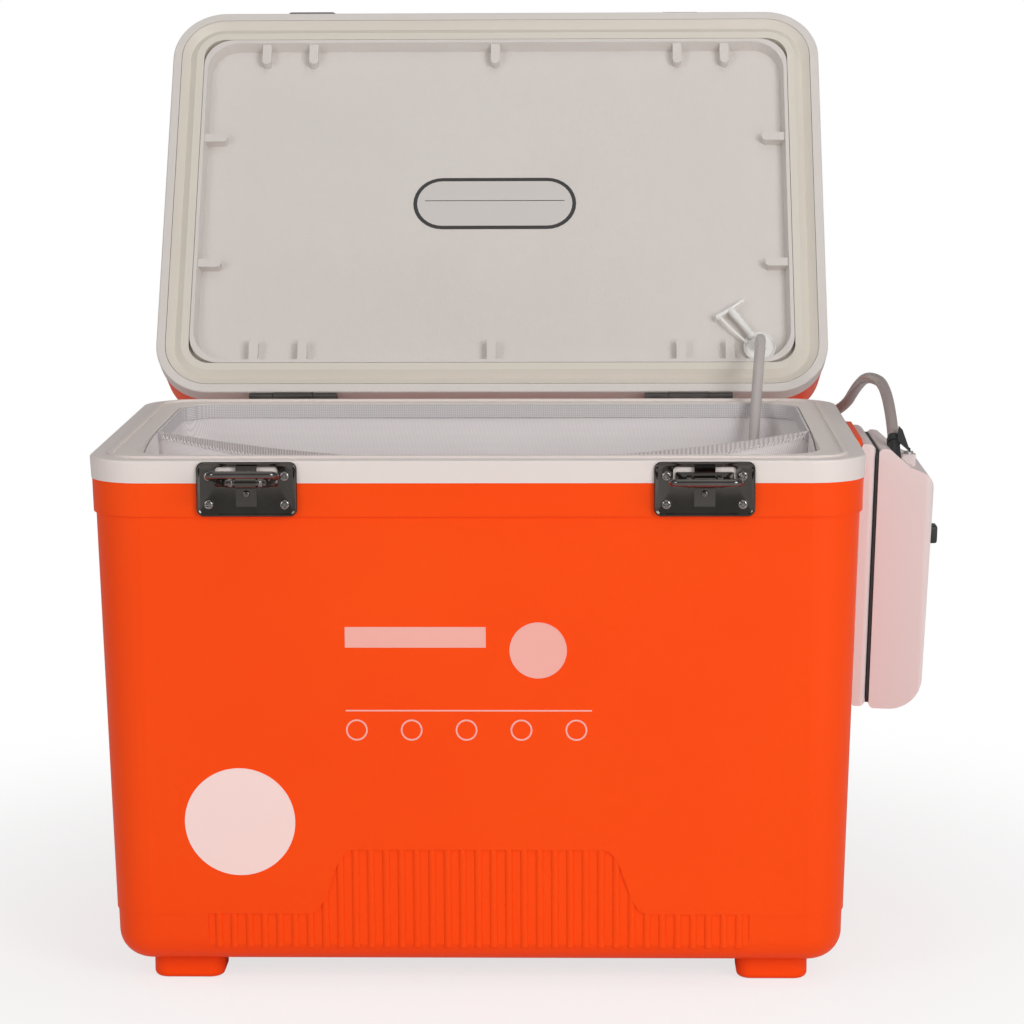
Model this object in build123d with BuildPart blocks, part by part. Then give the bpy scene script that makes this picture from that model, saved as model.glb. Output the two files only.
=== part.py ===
"""A hard-sided live-bait cooler with a battery air pump on its right wall.

Millimetres.  X runs to the right, Y to the back and Z up.  The origin is on the
floor, midway between the four feet.  The lid stands open against its stop.
"""

import os
from math import cos, radians, sin, tan

from build123d import *

os.makedirs("parts", exist_ok=True)

# --- driving dimensions: the tub ---
rim_width = 413.0
rim_depth = 271.0
rim_height = 289.0
rim_corner = 30.0
wall = 3.0
wall_draft = 1.7
band_height = 12.0
band_draft = 3.0
collar_height = 18.0
collar_inset = 1.0
wall_inset = 2.9
skirt_top = 41.0
skirt_step = 0.65
bottom_radius = 16.0
foot_height = 13.0
foot_width = 38.5
foot_length = 32.0
foot_spread_x = 159.0
foot_spread_y = 91.5
foot_corner = 8.0
foot_edge_radius = 3.0

# the fluted panel low on the front wall
flute_pitch = 8.23
flute_count = 35
flute_radius = 2.4
panel_depth = 1.2
panel_low_top = 41.6
panel_high_top = 77.3
panel_bottom = 23.0
panel_high_half = 66.0
panel_low_half = 92.0
panel_half = 145.5

# the white tub inside
flange_width = 23.0
flange_plate = 3.5
tub_corner = 24.0
tub_draft = 2.2
tub_floor = 42.0
tub_floor_radius = 18.0
ridge_inset = 9.8
ridge_width = 2.4
ridge_height = 1.2

# --- driving dimensions: the lid ---
lid_open_angle = 123.0
lid_gap = 0.3
lid_corner = 33.0
lid_width = 411.0
lid_height = 45.0
lid_draft = 4.0
lid_edge_radius = 9.0
lid_wall = 2.5
lid_face_plate = 11.0
gasket_inset = 5.5
gasket_width = 14.7
gasket_height = 4.7
gasket_land = 5.0
gasket_groove_at = 5.2
gasket_groove_depth = 3.2
recess_inset = 22.4
recess_depth = 8.0
recess_slope = 15.0
rib_width = 5.6
rib_height = 6.5
rib_run = 15.0

# --- driving dimensions: hinges ---
hinge_spread = 120.0
hinge_width = 53.0
hinge_back = 4.1
hinge_rise = 0.1
knuckle_radius = 3.2
pin_radius = 1.6
lid_knuckle_width = 24.0
web_height = 2.3
knuckle_gap = 0.35
leaf_thickness = 1.2
leaf_height = 18.0
leaf_clearance = 4.3

# --- driving dimensions: latches ---
latch_spread = 120.0
plate_width = 53.0
plate_height = 29.0
plate_thickness = 1.2
plate_corner = 4.0
plate_roll = 0.5
plate_roll_width = 1.6
window_width = 33.0
window_height = 10.5
window_drop = 3.2
bail_hinge_drop = 11.0
bail_hinge_out = 4.4
bail_wire = 1.9
bail_inner_half = 12.0
bail_outer_half = 18.6
bail_reach = 22.0
bail_rest_angles = {"left": 19.0, "right": 8.0}
clip_width = 11.0
clip_thickness = 1.0
clip_foot = 24.0
tab_top = 2.4
rivet_drop = 17.3
keeper_spread = 118.0
keeper_width = 30.0
keeper_drops = {"left": 1.0, "right": 3.0}
keeper_plate_height = 15.0
keeper_tongue_width = 22.0
keeper_tongue_from = 6.0
keeper_tongue_thickness = 2.2
keeper_reach = 3.5
keeper_screw_rise = 14.5
keeper_screw_spread = 18.0
spring_from = 6.2
spring_width = 3.4
spring_thickness = 1.0
screw_radius = 1.5
screw_head_radius = 2.7
screw_head_height = 1.3
screw_length = 9.0
short_screw = 5.4
screw_columns = 40.0
screw_rows = 15.0

# --- driving dimensions: the air pump ---
pump_y = -5.0
pump_width = 84.0
pump_top = 284.0
pump_height = 146.0
pump_tilt = wall_draft
pump_wall = 2.2
pump_edge_radius = 5.0
bracket_thickness = 3.0
bracket_from = -47.0
bracket_to = 41.0
bracket_top = 4.0
bracket_bottom = -128.0
bracket_pad = 2.1
bracket_pad_top = -27.0
back_case_depth = 10.7
back_case_top = 1.8
back_case_bottom = -145.0
seam_depth = 12.4
seam_inset = 0.7
head_split = -24.0
front_top = -0.9
front_bottom = -146.0
front_low_depth = 41.0
front_high_depth = 43.5
head_flat_depth = 18.3
head_step_depth = 29.6
head_step_top = -10.4
head_end_top = -15.5
head_corner = 10.0
front_bottom_corner = 18.0
switch_place = -53.5
switch_height = 10.0
switch_width = 12.0
switch_travel = 5.0
switch_top_depth = 45.9
cell_radius = 16.2
cell_length = 59.5
cell_bottom = -128.0
cell_spacing = 33.4
cell_depth = 22.0
motor_radius = 9.5
motor_depth = 17.0
motor_length = 34.0
air_unit_width = 46.0
air_unit_depth = 22.0
air_unit_height = 20.0
nozzle_radius = 3.3
nozzle_y = -32.0
nozzle_depth = 21.6
nozzle_length = 16.0
nozzle_lean = 52.0
fin_thickness = 2.0
clamp_size = 8.0
clamp_height = 4.6
clamp_depth = 30.6

# --- driving dimensions: air line ---
hose_radius = 3.175
port_x = 164.0
port_from_hinge_edge = 33.0
port_stem_radius = 5.0
port_flange_radius = 8.0
port_flange = 2.0
port_nose = 4.0
elbow_rise = 8.0
elbow_run = 12.0
elbow_turn = 45.0
stone_radius = 7.0
stone_length = 28.0
plug_radius = 4.2
handle_radius = 2.6
handle_length = 24.0
plug_start_x = 148.4
plug_start_from_back = 58.4
plug_end_x = 158.6
plug_end_from_back = 45.0

# --- driving dimensions: the net bag ---
net_thickness = 1.2
net_half_top = 181.8
net_rear_top = 108.0
net_front_side = -12.0
net_front_sag = -60.0
net_half_floor = 162.0
net_rear_floor = 92.0
net_floor = 45.0
net_skirt_top = 258.0
net_rim_drop = 3.0
net_cut = 16.0
hem_height = 7.0
hem_thickness = 2.0
hem_sag = 12.0

# --- labels ---
label_thickness = 0.2
label_lift = 0.02
seal_x = 32.6
seal_height = 186.9
seal_radius = 15.2
size_mark_x = -127.3
size_mark_height = 92.8
size_mark_radius = 29.6
ring_count = 5
first_ring_x = -64.0
ring_pitch = 29.2
ring_height = 143.5
ring_outer = 5.8
ring_inner = 4.9
lid_label_x = 0.7
lid_label_from_back = 135.3
lid_label_half_width = 51.0
lid_label_half_height = 18.4

# --- clearances ---
fit_gap = 0.3
face_gap = 0.05
pin_gap = 0.05
bail_gap = 0.08

# --- sizes worked out from them ---
front_y = -rim_depth / 2
back_y = rim_depth / 2
shell_top = rim_height - band_height
collar_bottom = shell_top - collar_height
wall_width = rim_width - 2 * wall_inset
wall_depth = rim_depth - 2 * wall_inset
wall_corner = rim_corner - wall_inset
wall_lean = tan(radians(wall_draft))
skirt_loss = (collar_bottom - skirt_top) * wall_lean + skirt_step
tub_width = rim_width - 2 * flange_width
tub_depth = rim_depth - 2 * flange_width
tub_lean = tan(radians(tub_draft))
axis_y = back_y + hinge_back
axis_z = rim_height + hinge_rise
open_turn = radians(lid_open_angle)
sides = {"left": -1, "right": 1}


def level(height):
    """A horizontal plane facing up."""
    return Plane.XY.offset(height)


def hanging(height):
    """A horizontal plane facing down, for walls that lean in towards the floor."""
    return Plane(origin=(0, 0, height), x_dir=(1, 0, 0), z_dir=(0, 0, -1))


def lid_level(height, facing=1):
    """A plane parallel to the lid's face, this far into the lid, centred on its outline."""
    along = Vector(0, cos(open_turn), -sin(open_turn))
    out = Vector(0, sin(open_turn), cos(open_turn))
    axis = Vector(0, axis_y, axis_z)
    centre = axis - along * axis_y + out * (rim_height + lid_gap - axis_z + height)
    return Plane(origin=centre, x_dir=(1, 0, 0), z_dir=out * facing)


def rounded_block(plane, width, depth, corner, height, draft=0.0, end_radius=0.0):
    """A block with rounded corners standing on a plane, its sides leaning in by the draft."""
    with BuildPart() as block:
        with BuildSketch(plane):
            RectangleRounded(width, depth, corner)
        extrude(amount=height, taper=draft)
        if end_radius:
            far_face = block.faces().sort_by(Axis(plane.origin, plane.z_dir))[-1]
            fillet(far_face.edges(), end_radius)
    return block.part


def pan_screw(plane, places, length=screw_length):
    """Pan-head screws, one solid at each place, with their heads above the plane."""
    with BuildPart() as screws:
        with BuildSketch(plane):
            with Locations(*places):
                Circle(screw_head_radius)
        extrude(amount=screw_head_height)
        with BuildSketch(plane):
            with Locations(*places):
                Circle(screw_radius)
        extrude(amount=-length)
    return screws.part


def screw_holes(plane, places, depth):
    """The holes those screws pass through."""
    with BuildPart() as holes:
        with BuildSketch(plane):
            with Locations(*places):
                Circle(screw_radius + pin_gap)
        extrude(amount=depth, both=True)
    return holes.part


# --- where fasteners go: the same places drive screws and holes ---
latch_rows = rim_height - 0.5 - plate_height / 2


def latch_plane(side, forward=0.0):
    """The upright plane of one latch plate, facing forward."""
    return Plane(
        origin=(sides[side] * latch_spread, front_y - forward, latch_rows),
        x_dir=(1, 0, 0),
        z_dir=(0, -1, 0),
    )


latch_screw_places = [
    (x * screw_columns / 2, y * screw_rows / 2 - 0.5) for x in (-1, 1) for y in (-1, 1)
]
hinge_screw_x = hinge_width / 2 - 7.0
hinge_screw_places = [
    (s * hinge_spread + t * hinge_screw_x, 0) for s in (-1, 1) for t in (-1, 1)
]
body_leaf_y = back_y + face_gap
body_screw_height = shell_top - 6.0
body_screw_plane = Plane(
    origin=(0, body_leaf_y + leaf_thickness, body_screw_height), x_dir=(1, 0, 0), z_dir=(0, 1, 0)
)
lid_back = lid_level(0)
lid_screw_rise = band_height + 5.5
lid_screw_plane = Plane(
    origin=lid_back.from_local_coords((0, back_y + face_gap + leaf_thickness, lid_screw_rise)),
    x_dir=(1, 0, 0),
    z_dir=lid_back.y_dir,
)


def keeper_plane(side, forward):
    """The plane of a keeper on the lid's front edge, its Y running up the lid."""
    return Plane(
        origin=lid_back.from_local_coords((sides[side] * keeper_spread, front_y - forward, 0)),
        x_dir=(1, 0, 0),
        z_dir=lid_back.y_dir * -1,
    )


keeper_screw_places = [(s * keeper_screw_spread / 2, keeper_screw_rise) for s in (-1, 1)]

# the pump's wall plane: X along the wall to the back, Y up the wall, Z out of it
pump_lean = radians(pump_tilt)
pump_plane = Plane(
    origin=(rim_width / 2 + face_gap, pump_y, pump_top),
    x_dir=(0, 1, 0),
    z_dir=(cos(pump_lean), 0, -sin(pump_lean)),
)
bracket_screw_places = [(x * 24.0, -y) for x in (-1, 1) for y in (52.0, 104.0)]
bracket_seat = Plane(
    origin=pump_plane.from_local_coords((0, 0, bracket_thickness - screw_head_height)),
    x_dir=pump_plane.x_dir,
    z_dir=pump_plane.z_dir,
)

latch_holes = [screw_holes(latch_plane(side), latch_screw_places, 14.0) for side in sides]
body_hinge_holes = screw_holes(body_screw_plane, hinge_screw_places, 14.0)
lid_hinge_holes = screw_holes(lid_screw_plane, hinge_screw_places, 8.0)
keeper_holes = [screw_holes(keeper_plane(side, 0), keeper_screw_places, 6.0) for side in sides]
bracket_holes = screw_holes(pump_plane, bracket_screw_places, 14.0)


# --- the orange outer shell, moulded with its four feet ---
shell_cavity = rounded_block(
    hanging(collar_bottom),
    wall_width - 2 * wall,
    wall_depth - 2 * wall,
    wall_corner - wall,
    collar_bottom - foot_height - wall,
    wall_draft,
    bottom_radius - 1.0,
)
collar_cavity = rounded_block(
    level(collar_bottom - 1.0),
    wall_width - 2 * wall,
    wall_depth - 2 * wall,
    wall_corner - wall,
    collar_height + 2.0,
)
front_wall = Plane(
    origin=(0, -wall_depth / 2, collar_bottom),
    x_dir=(1, 0, 0),
    z_dir=(0, -cos(radians(wall_draft)), -sin(radians(wall_draft))),
)


def down_wall(height):
    """The distance along the leaning front wall to a height above the floor."""
    return -(collar_bottom - height) / cos(radians(wall_draft))


with BuildPart() as flute_field:
    with BuildSketch(front_wall):
        with BuildLine():
            low = down_wall(panel_low_top)
            high = down_wall(panel_high_top)
            ease = (panel_low_half - panel_high_half) * 0.55
            Line((-panel_half, down_wall(panel_bottom)), (panel_half, down_wall(panel_bottom)))
            Line((panel_half, down_wall(panel_bottom)), (panel_half, low))
            Line((panel_half, low), (panel_low_half, low))
            Bezier(
                (panel_low_half, low),
                (panel_low_half - ease, low),
                (panel_high_half + ease, high),
                (panel_high_half, high),
            )
            Line((panel_high_half, high), (-panel_high_half, high))
            Bezier(
                (-panel_high_half, high),
                (-panel_high_half - ease, high),
                (-panel_low_half + ease, low),
                (-panel_low_half, low),
            )
            Line((-panel_low_half, low), (-panel_half, low))
            Line((-panel_half, low), (-panel_half, down_wall(panel_bottom)))
        make_face()
    extrude(amount=-panel_depth)

flute_foot = Plane(
    origin=front_wall.from_local_coords((0, down_wall(panel_bottom), -flute_radius)),
    x_dir=(1, 0, 0),
    z_dir=front_wall.y_dir,
)
with BuildPart() as flutes:
    with BuildSketch(flute_foot):
        with GridLocations(flute_pitch, 1, flute_count, 1):
            Circle(flute_radius)
    extrude(amount=down_wall(panel_high_top) - down_wall(panel_bottom))
    add(flute_field.part, mode=Mode.INTERSECT)

with BuildPart() as body_shell:
    with BuildSketch(hanging(shell_top)):
        RectangleRounded(
            rim_width - 2 * collar_inset, rim_depth - 2 * collar_inset, rim_corner - collar_inset
        )
    extrude(amount=collar_height, taper=wall_draft)
    with BuildSketch(hanging(collar_bottom)):
        RectangleRounded(wall_width, wall_depth, wall_corner)
    extrude(amount=collar_bottom - skirt_top, taper=wall_draft)
    with BuildSketch(hanging(skirt_top)):
        RectangleRounded(
            wall_width - 2 * skirt_loss, wall_depth - 2 * skirt_loss, wall_corner - skirt_loss
        )
    extrude(amount=skirt_top - foot_height, taper=wall_draft)
    fillet(body_shell.faces().sort_by(Axis.Z)[0].edges(), bottom_radius)
    add(shell_cavity, mode=Mode.SUBTRACT)
    add(collar_cavity, mode=Mode.SUBTRACT)
    add(flute_field.part, mode=Mode.SUBTRACT)
    add(flutes.part)
    with BuildSketch(Plane.XY):
        with GridLocations(2 * foot_spread_x, 2 * foot_spread_y, 2, 2):
            RectangleRounded(foot_width, foot_length, foot_corner)
    extrude(amount=foot_height + wall / 2)
    fillet(body_shell.edges().group_by(Axis.Z)[0], foot_edge_radius)
    add(body_hinge_holes, mode=Mode.SUBTRACT)
    add(bracket_holes, mode=Mode.SUBTRACT)
    for holes in latch_holes:
        add(holes, mode=Mode.SUBTRACT)
body_shell.part.label = "body_shell"
export_step(body_shell.part, "parts/body_shell.step")


# --- the white tub with its rim band, flange and sealing ridge ---
tub_outside = rounded_block(
    hanging(rim_height - flange_plate / 2),
    tub_width + 2 * wall,
    tub_depth + 2 * wall,
    tub_corner + wall,
    rim_height - flange_plate / 2 - tub_floor + wall,
    tub_draft,
    tub_floor_radius + wall,
)
tub_inside = rounded_block(
    hanging(rim_height + ridge_height + 1.0),
    tub_width + 2 * (ridge_height + 1.0) * tub_lean,
    tub_depth + 2 * (ridge_height + 1.0) * tub_lean,
    tub_corner,
    rim_height + ridge_height + 1.0 - tub_floor,
    tub_draft,
    tub_floor_radius,
)
band_hollow = rounded_block(
    level(shell_top - 1.0),
    rim_width - 2 * (wall + collar_inset),
    rim_depth - 2 * (wall + collar_inset),
    rim_corner - wall - collar_inset,
    band_height - flange_plate + 1.0,
)

with BuildPart() as body_liner:
    with BuildSketch(hanging(rim_height)):
        RectangleRounded(rim_width, rim_depth, rim_corner)
    extrude(amount=band_height, taper=band_draft)
    fillet(body_liner.faces().sort_by(Axis.Z)[-1].edges(), 1.2)
    add(band_hollow, mode=Mode.SUBTRACT)
    add(tub_outside)
    with BuildSketch(level(rim_height)):
        RectangleRounded(
            rim_width - 2 * ridge_inset, rim_depth - 2 * ridge_inset, rim_corner - ridge_inset
        )
        RectangleRounded(
            rim_width - 2 * (ridge_inset + ridge_width),
            rim_depth - 2 * (ridge_inset + ridge_width),
            rim_corner - ridge_inset - ridge_width,
            mode=Mode.SUBTRACT,
        )
    extrude(amount=ridge_height)
    add(tub_inside, mode=Mode.SUBTRACT)
    add(body_hinge_holes, mode=Mode.SUBTRACT)
    add(bracket_holes, mode=Mode.SUBTRACT)
    for holes in latch_holes:
        add(holes, mode=Mode.SUBTRACT)
body_liner.part.label = "body_liner"
export_step(body_liner.part, "parts/body_liner.step")


# --- the foam between shell and tub ---
foam_inside = rounded_block(
    hanging(shell_top),
    tub_width + 2 * (wall + fit_gap) - 2 * (rim_height - shell_top) * tub_lean + 1.0,
    tub_depth + 2 * (wall + fit_gap) - 2 * (rim_height - shell_top) * tub_lean + 1.0,
    tub_corner + wall,
    shell_top - tub_floor + wall + fit_gap,
    tub_draft,
    tub_floor_radius + wall,
)
with BuildPart() as body_foam:
    with BuildSketch(hanging(collar_bottom)):
        RectangleRounded(
            wall_width - 2 * (wall + fit_gap),
            wall_depth - 2 * (wall + fit_gap),
            wall_corner - wall - fit_gap,
        )
    extrude(amount=collar_bottom - foot_height - wall - fit_gap, taper=wall_draft)
    fillet(body_foam.faces().sort_by(Axis.Z)[0].edges(), bottom_radius)
    add(foam_inside, mode=Mode.SUBTRACT)
body_foam.part.label = "body_foam"
export_step(body_foam.part, "parts/body_foam.step")


# --- the port through the lid, named here because three lid pieces have its hole ---
port_y = back_y - port_from_hinge_edge
port_hole_radius = port_stem_radius + 0.1

# --- the lid's white inner moulding ---
with BuildPart() as recess:
    with BuildSketch(lid_level(0)):
        RectangleRounded(
            lid_width - 2 * recess_inset, rim_depth - 2 * recess_inset, lid_corner - gasket_width + 2
        )
    extrude(amount=recess_depth, taper=recess_slope)

rib_reach = 2.0
long_rib_places = [(x, s) for x in (-145.8, -115.9, 0.0, 115.9, 145.8) for s in (-1, 1)]
short_rib_places = [(s, y) for y in (-45.3, 44.3) for s in (-1, 1)]
with BuildPart() as lid_liner:
    with BuildSketch(lid_level(0)):
        RectangleRounded(lid_width, rim_depth, lid_corner)
    extrude(amount=band_height, taper=band_draft)
    fillet(lid_liner.faces().sort_by(Axis(lid_back.origin, lid_back.z_dir))[0].edges(), 1.0)
    with BuildSketch(lid_level(lid_face_plate)):
        RectangleRounded(lid_width - 2 * wall - 1.5, rim_depth - 2 * wall - 1.5, lid_corner - wall)
    extrude(amount=band_height, mode=Mode.SUBTRACT)
    with BuildSketch(lid_level(0)):
        RectangleRounded(
            lid_width - 2 * gasket_inset, rim_depth - 2 * gasket_inset, lid_corner - gasket_inset
        )
        RectangleRounded(
            lid_width - 2 * (gasket_inset + gasket_width),
            rim_depth - 2 * (gasket_inset + gasket_width),
            lid_corner - gasket_width,
            mode=Mode.SUBTRACT,
        )
    extrude(amount=gasket_height + 0.3, mode=Mode.SUBTRACT)
    add(recess.part, mode=Mode.SUBTRACT)
    with BuildSketch(lid_level(recess_depth, -1)):
        for x, side in long_rib_places:
            with Locations((x, side * (rim_depth / 2 - recess_inset - rib_run / 2 + rib_reach - 0.6))):
                SlotOverall(rib_run + rib_reach, rib_width, rotation=90)
        for side, y in short_rib_places:
            with Locations((side * (lid_width / 2 - recess_inset - rib_run / 2 + rib_reach - 0.6), y)):
                SlotOverall(rib_run + rib_reach, rib_width)
    extrude(amount=rib_height)
    with BuildSketch(lid_level(0)):
        with Locations((port_x, port_y)):
            Circle(port_hole_radius)
    extrude(amount=band_height + 2.0, mode=Mode.SUBTRACT)
    add(lid_hinge_holes, mode=Mode.SUBTRACT)
lid_liner.part.label = "lid_liner"
export_step(lid_liner.part, "parts/lid_liner.step")


# --- the cream rubber seal, a flat ring with a vee groove for the tub's ridge ---
seal_outer = gasket_inset + fit_gap
seal_width = gasket_width - 2 * fit_gap
with BuildPart() as lid_gasket:
    with BuildLine(lid_level(0)) as seal_path:
        half_w = lid_width / 2 - seal_outer
        half_d = rim_depth / 2 - seal_outer
        FilletPolyline(
            (0, half_d),
            (half_w, half_d),
            (half_w, -half_d),
            (-half_w, -half_d),
            (-half_w, half_d),
            (-0.001, half_d),
            radius=lid_corner - seal_outer,
        )
    start = Plane(
        origin=lid_level(0).from_local_coords((0, half_d, 0)),
        x_dir=lid_back.y_dir * -1,
        z_dir=(-1, 0, 0),
    )
    with BuildSketch(start):
        with BuildLine():
            Polyline(
                (0, 0),
                (gasket_groove_at - gasket_land, 0),
                (gasket_groove_at, gasket_groove_depth),
                (gasket_groove_at + gasket_land - 0.8, 0),
                (seal_width, 0),
                (seal_width, gasket_height),
                (0, gasket_height),
                (0, 0),
            )
        make_face()
    sweep()
lid_gasket.part.label = "lid_gasket"
export_step(lid_gasket.part, "parts/lid_gasket.step")


# --- the lid's orange outer shell ---
lid_cover_height = lid_height - band_height
with BuildPart() as lid_shell:
    with BuildSketch(lid_level(band_height)):
        RectangleRounded(
            lid_width - 2 * collar_inset, rim_depth - 2 * collar_inset, lid_corner - collar_inset
        )
    extrude(amount=lid_cover_height, taper=lid_draft)
    top_face = lid_shell.faces().sort_by(Axis(lid_back.origin, lid_back.z_dir))[-1]
    fillet(top_face.edges(), lid_edge_radius)
    with BuildSketch(lid_level(band_height)):
        RectangleRounded(
            lid_width - 2 * (collar_inset + lid_wall),
            rim_depth - 2 * (collar_inset + lid_wall),
            lid_corner - collar_inset - lid_wall,
        )
    extrude(amount=lid_cover_height - lid_edge_radius, taper=lid_draft, mode=Mode.SUBTRACT)
    cover_loss = (lid_cover_height - lid_edge_radius) * tan(radians(lid_draft))
    with BuildSketch(lid_level(lid_height - lid_edge_radius - 0.5)):
        RectangleRounded(
            lid_width - 2 * (collar_inset + lid_wall + cover_loss + lid_edge_radius - lid_wall),
            rim_depth - 2 * (collar_inset + lid_wall + cover_loss + lid_edge_radius - lid_wall),
            lid_corner - collar_inset - lid_edge_radius,
        )
    extrude(amount=lid_edge_radius - lid_wall + 0.5, mode=Mode.SUBTRACT)
    with BuildSketch(lid_level(band_height)):
        with Locations((port_x, port_y)):
            Circle(port_hole_radius)
    extrude(amount=lid_height, mode=Mode.SUBTRACT)
    add(lid_hinge_holes, mode=Mode.SUBTRACT)
    for holes in keeper_holes:
        add(holes, mode=Mode.SUBTRACT)
lid_shell.part.label = "lid_shell"
export_step(lid_shell.part, "parts/lid_shell.step")


# --- the foam inside the lid ---
lid_foam_inset = collar_inset + lid_wall + fit_gap + 1.0
lid_foam_top = lid_height - lid_edge_radius - fit_gap
with BuildPart() as lid_foam:
    with BuildSketch(lid_level(lid_face_plate + fit_gap)):
        RectangleRounded(
            lid_width - 2 * (lid_foam_inset + cover_loss),
            rim_depth - 2 * (lid_foam_inset + cover_loss),
            lid_corner - lid_foam_inset - cover_loss,
        )
        with Locations((port_x, port_y)):
            Circle(port_stem_radius + fit_gap, mode=Mode.SUBTRACT)
    extrude(amount=lid_foam_top - lid_face_plate - fit_gap)
lid_foam.part.label = "lid_foam"
export_step(lid_foam.part, "parts/lid_foam.step")


# --- the two hinges ---
knuckle_side_width = (hinge_width - lid_knuckle_width) / 2 - knuckle_gap
body_leaf_top = axis_z - leaf_clearance


def knuckle(centre_x, width):
    """One hinge barrel bored for the pin, centred on the hinge axis."""
    with BuildPart() as barrel:
        with BuildSketch(Plane(origin=(centre_x - width / 2, axis_y, axis_z), z_dir=(1, 0, 0))):
            Circle(knuckle_radius)
        extrude(amount=width)
    return barrel.part


def pin_bore():
    """The pin's running bore, through every knuckle on the axis."""
    with BuildPart() as bore:
        with BuildSketch(Plane(origin=(-rim_width / 2, axis_y, axis_z), z_dir=(1, 0, 0))):
            Circle(pin_radius + pin_gap)
        extrude(amount=rim_width)
    return bore.part


hinge_bore = pin_bore()
side_knuckle_offset = (hinge_width - knuckle_side_width) / 2
side_knuckle_places = [
    s * hinge_spread + t * side_knuckle_offset for s in (-1, 1) for t in (-1, 1)
]
side_knuckles = [knuckle(x, knuckle_side_width) for x in side_knuckle_places]
lid_knuckles = [knuckle(s * hinge_spread, lid_knuckle_width) for s in (-1, 1)]

with BuildPart() as hinge_body_leaves:
    with BuildSketch(Plane(origin=(0, body_leaf_y + leaf_thickness, 0), x_dir=(1, 0, 0), z_dir=(0, -1, 0))):
        with Locations(*[(s * hinge_spread, body_leaf_top - leaf_height / 2) for s in (-1, 1)]):
            RectangleRounded(hinge_width, leaf_height, 2.0)
        with Locations(*[(x, axis_z - leaf_clearance / 2 - 1.0) for x in side_knuckle_places]):
            Rectangle(knuckle_side_width, leaf_clearance + 2.0)
    extrude(amount=leaf_thickness)
    with BuildSketch(Plane(origin=(0, axis_y, axis_z), x_dir=(1, 0, 0), z_dir=(0, -1, 0))):
        with Locations(*[(x, -web_height / 2) for x in side_knuckle_places]):
            Rectangle(knuckle_side_width, web_height)
    extrude(amount=hinge_back - face_gap)
    for barrel in side_knuckles:
        add(barrel)
    add(hinge_bore, mode=Mode.SUBTRACT)
    add(body_hinge_holes, mode=Mode.SUBTRACT)
hinge_body_leaves.part.label = "hinge_body_leaves"
export_step(hinge_body_leaves.part, "parts/hinge_body_leaves.step")

lid_leaf_plane = Plane(
    origin=lid_back.from_local_coords((0, back_y + face_gap + leaf_thickness, 0)),
    x_dir=(1, 0, 0),
    z_dir=lid_back.y_dir * -1,
)
lid_leaf_from = leaf_clearance - lid_gap
with BuildPart() as hinge_lid_leaves:
    with BuildSketch(lid_leaf_plane):
        with Locations(*[(s * hinge_spread, lid_leaf_from + leaf_height / 2) for s in (-1, 1)]):
            RectangleRounded(hinge_width, leaf_height, 2.0)
        with Locations(*[(s * hinge_spread, lid_leaf_from / 2 + 1.0) for s in (-1, 1)]):
            Rectangle(lid_knuckle_width, lid_leaf_from + 2.0)
    extrude(amount=leaf_thickness)
    with BuildSketch(lid_leaf_plane):
        with Locations(*[(s * hinge_spread, web_height / 2) for s in (-1, 1)]):
            Rectangle(lid_knuckle_width, web_height)
    extrude(amount=leaf_thickness + face_gap - hinge_back)
    for barrel in lid_knuckles:
        add(barrel)
    add(hinge_bore, mode=Mode.SUBTRACT)
    add(lid_hinge_holes, mode=Mode.SUBTRACT)
hinge_lid_leaves.part.label = "hinge_lid_leaves"
export_step(hinge_lid_leaves.part, "parts/hinge_lid_leaves.step")

with BuildPart() as hinge_pins:
    for s in (-1, 1):
        with BuildSketch(
            Plane(origin=(s * hinge_spread - hinge_width / 2, axis_y, axis_z), z_dir=(1, 0, 0))
        ):
            Circle(pin_radius)
        extrude(amount=hinge_width)
hinge_pins.part.label = "hinge_pins"
export_step(hinge_pins.part, "parts/hinge_pins.step")

hinge_body_screws = pan_screw(body_screw_plane, hinge_screw_places, short_screw)
hinge_body_screws.label = "hinge_body_screws"
export_step(hinge_body_screws, "parts/hinge_body_screws.step")
hinge_lid_screws = pan_screw(lid_screw_plane, hinge_screw_places, short_screw)
hinge_lid_screws.label = "hinge_lid_screws"
export_step(hinge_lid_screws, "parts/hinge_lid_screws.step")


# --- the two latches: plate, spring clip, bail and the lid's keeper ---
bail_axis_y = front_y - bail_hinge_out
bail_axis_z = rim_height - bail_hinge_drop
window_rise = rim_height - window_drop - window_height / 2 - latch_rows
rivet_place = (0, rim_height - rivet_drop - latch_rows)
clip_face = face_gap + plate_thickness + face_gap


def latch_side_plane(side, half_width):
    """The upright plane across a latch, for shapes pushed from one side to the other."""
    return Plane(
        origin=(sides[side] * latch_spread - half_width, bail_axis_y, bail_axis_z),
        x_dir=(0, -1, 0),
        z_dir=(-1, 0, 0),
    )


def latch_plate(side):
    """A pressed plate with a rolled edge and a window for the clip."""
    rivet_hole = screw_holes(latch_plane(side), [rivet_place], 6.0)
    with BuildPart() as plate:
        with BuildSketch(latch_plane(side, face_gap)):
            RectangleRounded(plate_width, plate_height, plate_corner)
            with Locations((0, window_rise)):
                RectangleRounded(window_width, window_height, 2.0, mode=Mode.SUBTRACT)
        extrude(amount=plate_thickness)
        with BuildSketch(latch_plane(side, face_gap + plate_thickness)):
            RectangleRounded(plate_width, plate_height, plate_corner)
            RectangleRounded(
                plate_width - 2 * plate_roll_width,
                plate_height - 2 * plate_roll_width,
                plate_corner - plate_roll_width,
                mode=Mode.SUBTRACT,
            )
        extrude(amount=plate_roll)
        add(screw_holes(latch_plane(side), latch_screw_places, 6.0), mode=Mode.SUBTRACT)
        add(rivet_hole, mode=Mode.SUBTRACT)
    return plate.part


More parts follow.
